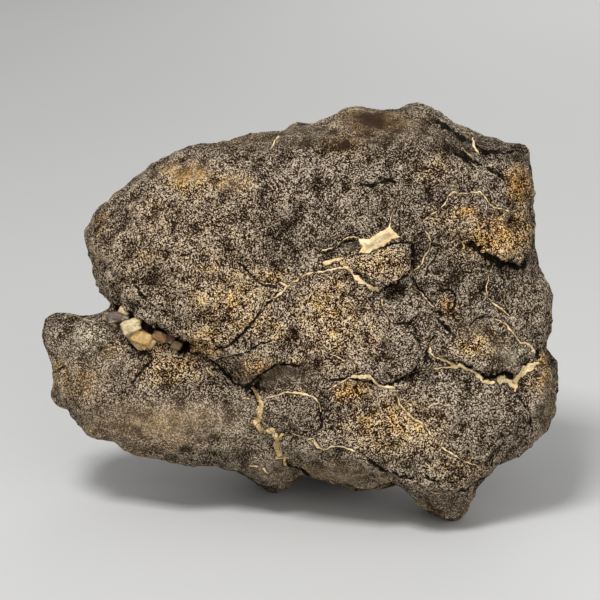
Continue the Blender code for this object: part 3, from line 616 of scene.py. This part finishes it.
# Blocks of filling and a sliver of rock, wedged in the notch between the stone's two blocks: place
# in portrait pixels, half sizes across, up and back in millimetres, turn in the picture plane in
# degrees, share of the depth that stands proud, and colour as a picture's 0 to 255 values
NOTCH_BLOCKS = {
    "pale bed": ((133.5, 337.5), (2.5, 0.8, 1.2), -50, 0.5, (168, 144, 98)),
    "white block": ((131.0, 326.5), (1.7, 1.25, 1.9), 24, 0.6, (190, 174, 136)),
    "white block's end": ((136.5, 323.0), (0.75, 0.9, 1.5), -20, 0.6, (200, 178, 132)),
    "yellow block": ((141.6, 337.2), (1.9, 1.2, 1.8), -20, 0.58, (180, 146, 86)),
    "lower left crumb": ((143.2, 346.0), (0.75, 0.5, 1.0), -40, 0.5, (178, 144, 84)),
    "lower crumb": ((150.5, 343.0), (1.0, 0.75, 1.3), 50, 0.52, (174, 144, 94)),
    "brown block": ((160.0, 336.5), (1.35, 0.9, 1.5), -22, 0.52, (122, 88, 50)),
    "dark block": ((170.0, 338.5), (0.85, 0.75, 1.4), -40, 0.5, (84, 58, 40)),
    "small block": ((176.5, 345.0), (0.95, 0.75, 1.3), -15, 0.55, (118, 98, 64)),
    "rock sliver": ((118.5, 317.0), (2.1, 1.0, 2.0), 10, 0.6, (76, 64, 60)),
    "spot on the sliver": ((124.2, 311.0), (0.95, 0.6, 1.2), -24, 0.85, (184, 160, 118)),
    "edge of the sliver": ((110.5, 321.5), (1.4, 0.35, 1.2), -38, 0.6, (160, 140, 96)),
}
BLOCK_CUTS = 9  # cuts across each edge of a block
BLOCK_BALL = 1.25  # a block is a cube that goes towards a ball of this radius, in half sizes,
BLOCK_ROUNDING = 0.42  # by this share of the way
BLOCK_WAVES = [(0.2, 0.9), (0.07, 3.3)]  # its unevenness: reach, and waves to a half size
BLOCK_SHIFT = 7.0  # from one block's waves to the next one's
PUSH_SHIFTS = (31.0, 57.0, 113.0)  # keep apart the noise that pushes across, back and up


def push(place):
    """Smooth noise at the place, between about -1 and 1 in each direction."""
    return Vector([noise.noise(place + Vector((s, s, s))) for s in PUSH_SHIFTS])


def notch_filling():
    """The blocks in the notch, as one piece with a colour on each."""
    tree = BVHTree.FromObject(skin, bpy.context.evaluated_depsgraph_get())
    mesh = bpy.data.meshes.new("notch_filling")
    with opened(mesh) as shape:
        tone = shape.verts.layers.float_color.new("tone")
        for number, (pixel, half_sizes, turn, proud, shade) in enumerate(NOTCH_BLOCKS.values()):
            across, up = to_plan(pixel) * MM
            aim = FACE_ORIGIN + Matrix.Rotation(-LEAN, 3, "X") @ Vector((across, 0.0, up))
            sight = (aim - EYE).normalized()
            hit = tree.ray_cast(EYE, sight)[0]
            across_half, up_half, back_half = (size * MM for size in half_sizes)
            middle = hit + sight * back_half * (1.0 - 2.0 * proud)
            before = len(shape.verts)
            corners = bmesh.ops.create_cube(shape, size=2.0)["verts"]
            edges = list({edge for vert in corners for edge in vert.link_edges})
            bmesh.ops.subdivide_edges(shape, edges=edges, cuts=BLOCK_CUTS, use_grid_fill=True)
            shape.verts.ensure_lookup_table()
            made = shape.verts[before:]
            shift = Vector((BLOCK_SHIFT * number, 0.0, 0.0))
            for vert in made:
                vert.co = vert.co.lerp(vert.co.normalized() * BLOCK_BALL, BLOCK_ROUNDING)
                for reach, often in BLOCK_WAVES:
                    vert.co += reach * push(vert.co * often + shift)
                vert[tone] = colour(*shade)
            bmesh.ops.transform(
                shape,
                matrix=Matrix.Translation(middle)
                @ Matrix.Rotation(-LEAN, 4, "X")
                @ Matrix.Rotation(-math.radians(turn), 4, "Y")
                @ Matrix.Diagonal((across_half, back_half, up_half, 1.0)),
                verts=made,
            )
    return add_object("notch_filling", mesh)


# Noise in the stone's colour: the length of its waves in millimetres
GRAIN = 0.26  # two light grains of the stone lie about half again as far apart
GRAIN_GROOVES = 1.0  # the dark lines that wind between the grains are half as far apart
CLOTS = 0.8
CLUMPS = 3.2
GOLD_SPOTS = 2.4
LOW_BUMPS = 1.3
FAR_PATCHES = 13.0  # the far sides' tan patches, and those that their cracks run through
FAR_SPOTS = 9.0  # their rusty and dark spots
FAR_FILLED = 16.0  # the stretches of their cracks that are filled

# Where that noise, or another value, goes from one look to the next
SHADE_RANGE = (0.46, 0.505)  # tones where the stone goes from its shade to its ground colour
BRIGHT_RANGE = (0.498, 0.553)  # and from its ground colour to its bright grains
GROOVE_RANGE = (0.015, 0.045)
GOLD_RANGE = (0.47, 0.6)
# heights of the short waves where their painted shade in the hollows goes from none to full
HOLLOW_SHADE_RANGE = (0.6, 0.15)
DEEPEST_DARK_AND_SHADE_RANGE = (0.75, 1.0)  # strength of the dark zone where its darkest colour, partly painted shadow, sets in
CRACK_SHADE_RANGE = (0.03, 0.16)  # depth of a crack in millimetres, over which its painted shade sets in
FAR_TAN_RANGE = (0.46, 0.62)
FAR_RUST_RANGE = (0.62, 0.75)
FAR_DARK_RANGE = (0.48, 0.34)
FAR_WHOLE_RANGE = (0.4, 0.5)
FAR_FINE_RANGE = (0.5, 0.62)
FAR_FILLED_RANGE = (0.5, 0.56)

# Shares that a colour takes where it is at its strongest
FAR_TAN = 0.75
FAR_DARK = 0.7
SMOOTH_BRIGHT = 0.35  # share of the bright colour where the stone is smooth
SMOOTH_CALM = 0.75  # share of the grain's contrast that a smooth zone takes away
HOLLOW_SHADE = (0.5, 0.3)  # of the painted shade in the hollows, and of the stone's colour within that shade
ZONE_DARK_AND_SHADE = (0.8, 0.22)  # the same for the dark zone's coat, which is partly darker patches and partly painted shadow
DEEPEST_DARK_AND_SHADE_MOST = 0.8
CRACK_SHADE_MOST = 0.95
SHADE_BESIDE_MOST = 0.85
FAR_CRACK_MOST = 0.9

# The far sides' cracks, in millimetres: a net of wide ones and a net of fine ones
WIDE_APART = 27.0
WIDE_RANGE = (0.62, 0.5)  # distances from a crack's middle where it goes from stone to dark,
CORE_RANGE = (0.38, 0.28)  # and from dark to its core
FINE_APART = 9.5
FINE_RANGE = (0.3, 0.1)
WINDING_WAVE = 0.2  # length of their windings as a share of the distance between two cracks
WINDING_REACH = 0.42  # and their reach

# Colours of the stone's shade, ground and bright grains, where it is grey and where it is tan, as a
# picture's 0 to 255 values
SHADE = ((40, 24, 8), (42, 9, 0))
GROUND = ((84, 67, 44), (104, 72, 22))
BRIGHT = ((185, 169, 148), (232, 204, 162))
GOLD = ((121, 80, 18), (235, 196, 128))  # ground and bright grains of the tan's richer spots
RUST_GRAINS = ((130, 83, 32), (240, 186, 104))  # ground and bright grains of the rusty spots
PALE_AND_SHEEN_GRAINS = ((118, 107, 85), (216, 205, 176))  # and of the pale ones, which are partly pale stone and partly a painted sheen on the wing
DEEPEST_DARK_AND_SHADE = (44, 27, 20)  # the darkest spots: darker along the top, and painted shadow under the brow and the shelf, beside the wedge and in the notch
BLACK = (0, 0, 0)
# painted shade in the cracks
CRACK_SHADE = (12, 7, 4)
# painted shadow beside the filling
SHADE_BESIDE_FILLING = (20, 12, 7)
FAR_CRACK_DARK = (14, 9, 6)
FAR_FILLING = ((150, 124, 84), (230, 206, 164))

# Colours of the filling: two tones each of the veins, of the wide patch and of the blocky vein
VEIN = ((206, 180, 132), (236, 212, 168))
PATCH = ((168, 150, 110), (196, 180, 146))
BLOCKY = ((182, 150, 96), (222, 194, 142))
VEIN_STAIN = (196, 160, 108)
VEIN_GRIT = (120, 92, 56)
# painted shade at the filling's edge
VEIN_EDGE_SHADE = (70, 46, 24)
VEIN_JOINT = (80, 56, 32)
NOTCH_BLOOM = (222, 208, 174)
NOTCH_STAIN = (120, 84, 46)
NOTCH_GRIT = (92, 66, 40)
FLOOR_GREY = (186, 186, 185)

# How much the waves of each length shift the tone of the stone's grain
CLOT_SHIFT = 0.13
CLUMP_SHIFT = 0.12
# painted light and shade: lighter grain on the short waves' crests, darker grain in their hollows
RELIEF_SHADE_SHIFT = 0.13
# the dark zone, partly painted shadow, shifts the grain darker
DARK_AND_SHADE_SHIFT = -0.06

# Colour zones of the face: place in portrait pixels, radii in pixels, strength
TAN = [
    ((188, 178), (26, 16), 0.9), ((232, 184), (24, 10), 0.6), ((145, 256), (14, 9), 0.6),
    ((210, 268), (18, 10), 0.6), ((232, 300), (42, 34), 0.75), ((205, 341), (22, 18), 1.0),
    ((276, 275), (16, 8), 0.9), ((330, 318), (32, 46), 0.8), ((299, 360), (10, 6), 0.9),
    ((380, 265), (30, 14), 0.9), ((498, 238), (40, 22), 0.9), ((478, 346), (24, 14), 0.75),
    ((392, 424), (44, 26), 0.85), ((350, 392), (20, 12), 0.95), ((270, 330), (26, 16), 0.6),
    ((175, 368), (36, 16), 0.75), ((80, 384), (22, 18), 0.6), ((128, 322), (12, 6), 0.5),
    ((60, 374), (10, 14), 0.7), ((112, 350), (14, 10), 0.5), ((152, 352), (14, 9), 0.8),
    ((436, 170), (20, 14), 0.5), ((444, 218), (18, 12), 0.5), ((540, 380), (10, 14), 0.6),
    ((420, 440), (24, 14), 0.5), ((90, 260), (10, 20), 0.35), ((160, 210), (34, 16), 0.3),
    ((185, 250), (90, 80), 0.22), ((150, 425), (80, 24), 0.3), ((330, 470), (50, 14), 0.15),
    ((458, 470), (26, 14), 0.45), ((366, 330), (18, 26), 0.4),
]
RUST = [
    ((519, 184), (13, 18), 1.0), ((466, 214), (12, 6), 0.9), ((500, 236), (34, 16), 0.45),
    ((447, 308), (9, 9), 0.8), ((256, 366), (20, 10), 0.6), ((160, 336), (8, 6), 0.6),
    ((376, 122), (34, 12), 0.5), ((345, 145), (20, 12), 0.4), ((101, 222), (6, 18), 0.4),
    ((545, 360), (8, 8), 0.7), ((520, 218), (10, 10), 0.5), ((355, 388), (18, 8), 0.4),
    ((200, 345), (14, 10), 0.25), ((345, 262), (8, 5), 0.3),
]
# The dark zone: darker patches, as along the top, and painted shadow under the brow and the shelf, beside
# the wedge and in the notch
DARK_AND_SHADE = [
    ((374, 121), (32, 15), 1.0), ((345, 146), (18, 11), 0.95), ((190, 220), (60, 40), 0.12),
    ((85, 370), (40, 40), 0.12), ((266, 380), (17, 9), 0.68), ((283, 374), (22, 10), 0.64),
    ((276, 373), (20, 7), 0.82), ((268, 474), (34, 16), 0.3), ((303, 377), (16, 10), 0.6),
    ((290, 412), (28, 14), 0.35), ((157, 273), (14, 13), 0.6), ((282, 238), (36, 26), 0.45),
    ((395, 294), (14, 8), 0.8), ((418, 258), (7, 14), 0.7), ((440, 140), (30, 12), 0.4),
    ((498, 267), (28, 6), 1.0), ((250, 440), (36, 24), 0.1), ((340, 470), (50, 16), 0.12),
    ((413, 257), (6, 14), 1.0), ((440, 505), (24, 12), 0.4), ((421, 243), (7, 8), 0.7),
    ((512, 152), (18, 12), 0.7), ((168, 345), (14, 5), 0.6), ((505, 372), (30, 5), 0.6),
    ((235, 372), (16, 8), 0.5), ((100, 218), (8, 22), 0.5), ((347, 246), (10, 5), 0.5),
    ((546, 400), (5, 40), 0.4), ((470, 148), (50, 14), 0.7), ((430, 190), (60, 26), 0.3),
    ((300, 140), (110, 14), 0.5), ((470, 290), (40, 34), 0.4), ((396, 289), (16, 5), 1.0),
    ((440, 275), (20, 24), 0.3), ((150, 165), (40, 14), 0.3), ((410, 145), (60, 22), 0.4),
    ((500, 361), (8, 8), 0.8), ((391, 298), (14, 9), 0.5), ((373, 355), (9, 6), 0.6),
    ((478, 330), (12, 9), 0.4), ((350, 250), (12, 7), 0.4), ((330, 255), (14, 6), 0.5),
    ((168, 330), (12, 4), 0.8), ((186, 347), (6, 4), 1.0), ((435, 300), (6, 12), 0.5),
    ((480, 262), (20, 7), 0.6),
]
SMOOTH = [
    ((266, 380), (17, 9), 0.7), ((283, 374), (22, 10), 0.8), ((303, 377), (16, 10), 0.5),
    ((268, 472), (34, 20), 0.75), ((188, 172), (26, 12), 0.8), ((232, 184), (20, 8), 0.6),
    ((380, 122), (40, 14), 0.8), ((165, 424), (95, 26), 0.85), ((290, 412), (26, 12), 0.2),
    ((84, 372), (44, 44), 0.4), ((335, 474), (55, 14), 0.7), ((500, 345), (20, 14), 0.35),
    ((440, 505), (28, 14), 0.6), ((545, 400), (10, 40), 0.6), ((300, 135), (200, 12), 0.5),
    ((240, 440), (30, 20), 0.4), ((348, 246), (8, 4), 0.8), ((508, 358), (13, 12), 0.6),
    ((475, 330), (13, 9), 0.5),
]
# Pale zone: pale stone, and a painted sheen near the wing's upper left
PALE_AND_SHEEN = [
    ((94, 335), (12, 10), 1.0), ((92, 330), (6, 5), 1.0), ((88, 345), (16, 10), 0.4),
    ((140, 345), (12, 8), 0.5), ((250, 415), (14, 8), 0.3), ((470, 390), (40, 20), 0.3),
    ((225, 432), (22, 8), 0.4), ((437, 352), (10, 6), 0.4), ((320, 440), (8, 6), 0.3),
    ((514, 353), (9, 10), 0.9),
]
ZONES = {"tan": TAN, "rust": RUST, "dark": DARK_AND_SHADE, "smooth": SMOOTH, "pale": PALE_AND_SHEEN}


# The edges of the zones stray: rows as in HAND_STRAY
ZONE_STRAY = [(5.0, 0.9, 7.0, 19.0), (1.8, 0.8, 3.0, 11.0)]
ZONE_EDGE = 1.3  # a spot's edge is the crisper the higher this is
ZONE_TURN = 0.12  # the zones fade where the stone faces the viewer less squarely than this
FACE_FADE = 0.3  # and the far sides' own colours set in from here


def zone(spots, drawn):
    """How strongly the face has that colour at each place, from 0 to 1."""
    strength = np.zeros(len(drawn))
    for middle, radii, most in spots:
        off = (drawn - to_plan(middle)) / (np.array(radii) * PIXEL)
        strength = np.maximum(strength, most * np.exp(-((off**2).sum(axis=1) ** ZONE_EDGE)))
    return strength * fading(ZONE_TURN)


zone_plan = strayed(plan, ZONE_STRAY)
for name, spots in ZONES.items():
    set_attribute(skin.data, name, zone(spots, zone_plan))
set_attribute(skin.data, "face", fading(FACE_FADE))


class Nodes:
    """A material's nodes, made and joined in short calls."""

    def __init__(self, name):
        self.material = bpy.data.materials.new(name)
        self.material.use_nodes = True
        self.tree = self.material.node_tree
        place = self.add("ShaderNodeTexCoord").outputs["Object"]
        self.place = self.vector("MULTIPLY", place, (1 / MM, 1 / MM, 1 / MM))

    def add(self, kind, **settings):
        node = self.tree.nodes.new(kind)
        for name, value in settings.items():
            setattr(node, name, value)
        return node

    def put(self, value, socket):
        if isinstance(value, bpy.types.NodeSocket):
            self.tree.links.new(value, socket)
        else:
            socket.default_value = value

    def vector(self, operation, first, second):
        node = self.add("ShaderNodeVectorMath", operation=operation)
        self.put(first, node.inputs[0])
        self.put(second, node.inputs[1])
        return node.outputs["Vector"]

    def math(self, operation, first, second=0.0, third=0.0, clamp=False):
        node = self.add("ShaderNodeMath", operation=operation, use_clamp=clamp)
        for value, socket in zip((first, second, third), node.inputs):
            self.put(value, socket)
        return node.outputs["Value"]

    def plus(self, first, second, clamp=False):
        return self.math("ADD", first, second, clamp=clamp)

    def less(self, first, second):
        return self.math("SUBTRACT", first, second)

    def times(self, first, second, clamp=False):
        return self.math("MULTIPLY", first, second, clamp=clamp)

    def scaled(self, value, factor, start):
        """value times factor, plus start."""
        return self.math("MULTIPLY_ADD", value, factor, start)

    def attribute(self, name):
        return self.add("ShaderNodeAttribute", attribute_name=name).outputs["Fac"]

    def noise(self, length, detail=2.0, rough=0.5, stray=0.0, shift=0.0, output="Fac"):
        """Noise from 0 to 1 with waves about that many millimetres long."""
        node = self.add("ShaderNodeTexNoise", noise_dimensions="3D")
        place = self.vector("ADD", self.place, (shift, shift, shift)) if shift else self.place
        self.put(place, node.inputs["Vector"])
        self.put(1.0 / length, node.inputs["Scale"])
        self.put(detail, node.inputs["Detail"])
        self.put(rough, node.inputs["Roughness"])
        self.put(stray, node.inputs["Distortion"])
        return node.outputs[output]

    def cell_edges(self, length, place=None):
        """Distance from the walls between cells of about that many millimetres, in cell lengths."""
        node = self.add("ShaderNodeTexVoronoi", voronoi_dimensions="3D", feature="DISTANCE_TO_EDGE")
        self.put(place or self.place, node.inputs["Vector"])
        self.put(1.0 / length, node.inputs["Scale"])
        return node.outputs["Distance"]

    def between(self, value, low, high):
        """value taken from low..high to 0..1, clamped."""
        node = self.add("ShaderNodeMapRange", clamp=True, interpolation_type="SMOOTHSTEP")
        self.put(value, node.inputs["Value"])
        self.put(low, node.inputs["From Min"])
        self.put(high, node.inputs["From Max"])
        return node.outputs["Result"]

    def mix(self, share, first, second):
        """A share of the second colour over the first. Each is a socket or 0 to 255 values."""
        node = self.add("ShaderNodeMix", data_type="RGBA", clamp_factor=True)
        self.put(share, node.inputs[0])
        for value, socket in ((first, node.inputs[6]), (second, node.inputs[7])):
            self.put(colour(*value) if isinstance(value, tuple) else value, socket)
        return node.outputs[2]

    def bump(self, height, distance, strength=1.0, under=None):
        node = self.add("ShaderNodeBump")
        self.put(height, node.inputs["Height"])
        self.put(distance * MM, node.inputs["Distance"])
        self.put(strength, node.inputs["Strength"])
        if under is not None:
            self.put(under, node.inputs["Normal"])
        return node.outputs["Normal"]

    def painted(self, surface, roughness, gloss, normal):
        """The material with that surface colour, roughness, specular level and normal."""
        shader = self.tree.nodes["Principled BSDF"]
        self.put(surface, shader.inputs["Base Color"])
        self.put(roughness, shader.inputs["Roughness"])
        self.put(gloss, shader.inputs["Specular IOR Level"])
        self.put(normal, shader.inputs["Normal"])
        return self.material


def far_crack_edge(n, apart, shift):
    """Distance in millimetres from a net of winding cracks that runs through the whole stone."""
    stray = n.noise(WINDING_WAVE * apart, detail=5.0, rough=0.6, shift=shift, output="Color")
    off = n.vector("SUBTRACT", stray, (0.5, 0.5, 0.5))
    pushed = n.vector("MULTIPLY", off, (WINDING_REACH * apart,) * 3)
    return n.times(n.cell_edges(apart, n.vector("ADD", n.place, pushed)), apart)


def stone_material():
    n = Nodes("weathered stone")
    grain = n.noise(GRAIN, detail=1.0, rough=0.6, stray=0.5)
    groove = n.noise(GRAIN_GROOVES, detail=1.0, rough=0.5, stray=0.8, shift=77.0)
    groove = n.math("ABSOLUTE", n.less(groove, 0.5))
    clot = n.noise(CLOTS, detail=1.0, rough=0.5, shift=31.0)
    clump = n.noise(CLUMPS, detail=2.0, rough=0.5, shift=13.0)
    far_patch = n.noise(FAR_PATCHES, detail=3.0, rough=0.55, stray=0.6, shift=5.0)
    far_spot = n.noise(FAR_SPOTS, detail=3.0, rough=0.6, stray=0.5, shift=57.0)
    hidden = n.less(1.0, n.attribute("face"))

    def everywhere(name, far_share):
        """A colour zone of the face together with its share of the far sides."""
        return n.plus(n.attribute(name), n.times(far_share, hidden), clamp=True)

    tan = everywhere("tan", n.times(n.between(far_patch, *FAR_TAN_RANGE), FAR_TAN))
    tan = n.times(tan, n.plus(0.55, clump), clamp=True)
    rust = everywhere("rust", n.between(far_spot, *FAR_RUST_RANGE))
    rust = n.times(rust, n.plus(0.3, clump), clamp=True)
    # The dark zone: on the face partly painted shadow, on the far sides dark spots
    dark = everywhere("dark", n.times(n.between(far_spot, *FAR_DARK_RANGE), FAR_DARK))
    # pale stone, and a painted sheen on the wing
    pale = n.attribute("pale")
    calm = n.less(1.0, n.times(n.attribute("smooth"), SMOOTH_CALM))

    # Painted light and shade of the short waves, which lightens the grain on their crests and darkens it in
    # their hollows
    relief_shade = n.attribute("relief_shade")
    tone = n.scaled(n.less(clot, 0.5), CLOT_SHIFT, grain)
    tone = n.scaled(n.less(clump, 0.5), CLUMP_SHIFT, tone)
    tone = n.scaled(n.less(relief_shade, 0.5), RELIEF_SHADE_SHIFT, tone)
    tone = n.scaled(dark, DARK_AND_SHADE_SHIFT, tone)
    low_half = n.times(n.between(tone, *SHADE_RANGE), n.between(groove, *GROOVE_RANGE))
    low_half = n.scaled(n.less(low_half, 1.0), calm, 1.0)
    high_half = n.scaled(n.less(n.between(tone, *BRIGHT_RANGE), SMOOTH_BRIGHT), calm, SMOOTH_BRIGHT)

    gold = n.between(n.noise(GOLD_SPOTS, detail=2.0, rough=0.6, shift=143.0), *GOLD_RANGE)
    shade = n.mix(tan, *SHADE)
    ground = n.mix(tan, GROUND[0], n.mix(gold, GROUND[1], GOLD[0]))
    ground = n.mix(pale, n.mix(rust, ground, RUST_GRAINS[0]), PALE_AND_SHEEN_GRAINS[0])
    bright = n.mix(tan, BRIGHT[0], n.mix(gold, BRIGHT[1], GOLD[1]))
    bright = n.mix(pale, n.mix(rust, bright, RUST_GRAINS[1]), PALE_AND_SHEEN_GRAINS[1])
    surface = n.mix(low_half, shade, ground)
    surface = n.mix(n.times(high_half, low_half), surface, bright)
    # Painted shade: darker in the hollows of the short waves, and in the dark zone, which is partly darker
    # patches and partly painted shadow
    for strength, (most, left) in ((n.between(relief_shade, *HOLLOW_SHADE_RANGE), HOLLOW_SHADE), (dark, ZONE_DARK_AND_SHADE)):
        surface = n.mix(n.times(strength, most), surface, n.mix(left, BLACK, surface))
    # Painted shadow under the ledges, and the darkest patches, where the dark zone is strongest
    surface = n.mix(n.times(n.between(dark, *DEEPEST_DARK_AND_SHADE_RANGE), DEEPEST_DARK_AND_SHADE_MOST), surface, DEEPEST_DARK_AND_SHADE)
    # Painted shade in the cracks, the darker the deeper they are cut
    crack = n.between(n.attribute("crack"), *CRACK_SHADE_RANGE)
    surface = n.mix(n.times(crack, CRACK_SHADE_MOST), surface, CRACK_SHADE)
    # Painted shadow beside the filling, broken up by the clots
    beside = n.times(n.attribute("shade_beside_filling"), n.between(clot, 0.3, 0.5))
    surface = n.mix(n.times(beside, SHADE_BESIDE_MOST), surface, SHADE_BESIDE_FILLING)

    edge = far_crack_edge(n, WIDE_APART, 3.0)
    wide = n.times(n.between(edge, *WIDE_RANGE), hidden)
    core = n.times(n.between(edge, *CORE_RANGE), hidden)
    fine = n.times(n.between(far_crack_edge(n, FINE_APART, 83.0), *FINE_RANGE), hidden)
    fine = n.times(fine, n.between(far_patch, *FAR_FINE_RANGE))
    filled = n.between(n.noise(FAR_FILLED, detail=2.0, shift=213.0), *FAR_FILLED_RANGE)
    open_crack = n.less(wide, n.times(n.less(1.0, filled), 0.5))
    open_crack = n.times(n.math("MAXIMUM", open_crack, core), n.between(far_patch, *FAR_WHOLE_RANGE))
    open_crack = n.math("MAXIMUM", open_crack, fine)
    surface = n.mix(n.times(open_crack, FAR_CRACK_MOST), surface, FAR_CRACK_DARK)
    surface = n.mix(n.times(core, filled), surface, n.mix(clot, *FAR_FILLING))

    low = n.bump(n.noise(LOW_BUMPS, detail=2.5, rough=0.6, shift=71.0), 0.9)
    height = n.scaled(low_half, 0.3, n.times(tone, calm))
    height = n.scaled(open_crack, -1.5, height)
    roughness = n.scaled(high_half, -0.12, 0.84)
    return n.painted(surface, roughness, 0.06, n.bump(height, 0.3, under=low))


def filling_material():
    n = Nodes("crack filling")
    cloud = n.between(n.noise(1.6, detail=3.0, rough=0.6), 0.35, 0.65)
    grit = n.noise(0.34, detail=2.0, rough=0.6, shift=9.0)
    stain = n.between(n.noise(5.0, detail=2.0, shift=21.0), 0.46, 0.62)
    inside = n.attribute("inside")
    blocky = n.attribute("blocky")
    joint = n.times(n.between(n.cell_edges(1.7), 0.06, 0.02), blocky)
    surface = n.mix(cloud, *VEIN)
    surface = n.mix(n.times(stain, 0.4), surface, VEIN_STAIN)
    surface = n.mix(n.between(inside, 0.55, 0.9), surface, n.mix(cloud, *PATCH))
    surface = n.mix(n.times(blocky, 0.8), surface, n.mix(cloud, *BLOCKY))
    surface = n.mix(n.times(n.between(grit, 0.47, 0.34), 0.5), surface, VEIN_GRIT)
    # Painted shade at the filling's edge, where it dips into the stone
    surface = n.mix(n.times(n.between(inside, 0.05, -0.02), 0.7), surface, VEIN_EDGE_SHADE)
    surface = n.mix(n.times(joint, 0.8), surface, VEIN_JOINT)
    return n.painted(surface, 0.75, 0.25, n.bump(grit, 0.14, 0.9))


def notch_material():
    n = Nodes("notch filling")
    cloud = n.noise(1.1, detail=2.0, rough=0.6, shift=3.0)
    grit = n.noise(0.4, detail=2.0, rough=0.6, shift=17.0)
    tone = n.add("ShaderNodeAttribute", attribute_name="tone").outputs["Color"]
    surface = n.mix(n.times(n.between(cloud, 0.5, 0.68), 0.4), tone, NOTCH_BLOOM)
    surface = n.mix(n.times(n.between(cloud, 0.5, 0.32), 0.5), surface, NOTCH_STAIN)
    surface = n.mix(0.7, tone, surface)
    surface = n.mix(n.times(n.between(grit, 0.46, 0.34), 0.55), surface, NOTCH_GRIT)
    return n.painted(surface, 0.6, 0.4, n.bump(grit, 0.12, 0.7))


def floor_material():
    material = bpy.data.materials.new("pale floor")
    material.use_nodes = True
    shader = material.node_tree.nodes["Principled BSDF"]
    shader.inputs["Base Color"].default_value = colour(*FLOOR_GREY)
    shader.inputs["Roughness"].default_value = 0.7
    return material


def dress(piece, material):
    piece.data.shade_smooth()
    piece.data.materials.clear()
    piece.data.materials.append(material)
    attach(piece, "root")


block_filling = notch_filling()
dress(skin, stone_material())
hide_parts("stone")
dress(crack_filling, filling_material())
dress(block_filling, notch_material())


# The floor, in metres: it is flat from its front edge to where its sweep starts behind the stone
FLOOR_FRONT = -4.0
FLOOR_HALF_WIDTH = 6.0
SWEEP_START = 0.9
SWEEP_RADIUS = 0.6
WALL_TOP = 3.0


def build_floor():
    """A pale floor that sweeps up behind the stone."""
    run = [(FLOOR_FRONT, 0.0), (SWEEP_START, 0.0)]
    for turn in np.linspace(0.1, math.pi / 2, 14):
        run.append((SWEEP_START + SWEEP_RADIUS * math.sin(turn), SWEEP_RADIUS * (1 - math.cos(turn))))
    run.append((SWEEP_START + SWEEP_RADIUS, WALL_TOP))
    mesh = bpy.data.meshes.new("floor")
    with opened(mesh) as shape:
        sides = (-FLOOR_HALF_WIDTH, FLOOR_HALF_WIDTH)
        rows = [[shape.verts.new((x, y, z)) for x in sides] for y, z in run]
        for near, far in zip(rows, rows[1:]):
            shape.faces.new((near[0], near[1], far[1], far[0]))
    mesh.shade_smooth()
    floor = add_object("floor", mesh)
    floor.data.materials.append(floor_material())
    floor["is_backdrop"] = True


# Lights: place in metres, width in metres, watts
LIGHTS = {
    "top": ((-0.2, -0.38, 0.72), 0.22, 6.15),
    "front": ((0.35, -0.8, 0.35), 0.6, 3.0),
    "back": ((0.25, 0.8, 0.4), 0.6, 2.0),
}
LIT_PLACE = Vector((0.0, 0.0, 0.035))  # all lights aim here
SURROUND = 0.5  # strength of the even light from all around


def build_light():
    world = bpy.data.worlds.new("studio")
    bpy.context.scene.world = world
    world.use_nodes = True
    world.node_tree.nodes["Background"].inputs["Color"].default_value = (1.0, 1.0, 1.0, 1.0)
    world.node_tree.nodes["Background"].inputs["Strength"].default_value = SURROUND
    for name, (place, width, watts) in LIGHTS.items():
        data = bpy.data.lights.new(name, "AREA")
        data.energy = watts
        data.size = width
        light = add_object(name, data)
        light.location = place
        light.rotation_euler = (LIT_PLACE - Vector(place)).to_track_quat("-Z", "Y").to_euler()


def build_camera():
    data = bpy.data.cameras.new("portrait")
    width = PICTURE * PIXEL
    data.sensor_width = 36.0
    data.lens = data.sensor_width * VIEW_DISTANCE / width
    data.shift_y = (PORTRAIT_CENTRE[1] - PICTURE / 2) / PICTURE
    data.clip_start = 0.01
    data.clip_end = 20.0
    camera = add_object("portrait", data)
    camera.location = EYE
    camera.rotation_euler = (math.pi / 2 - LEAN, 0.0, 0.0)
    bpy.context.scene.camera = camera


build_floor()
build_light()
build_camera()
bpy.context.scene.view_settings.view_transform = "Standard"

sizes = {"cad": cad_box, "visual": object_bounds()}
sizes = {name: [list(corner) for corner in box] for name, box in sizes.items()}
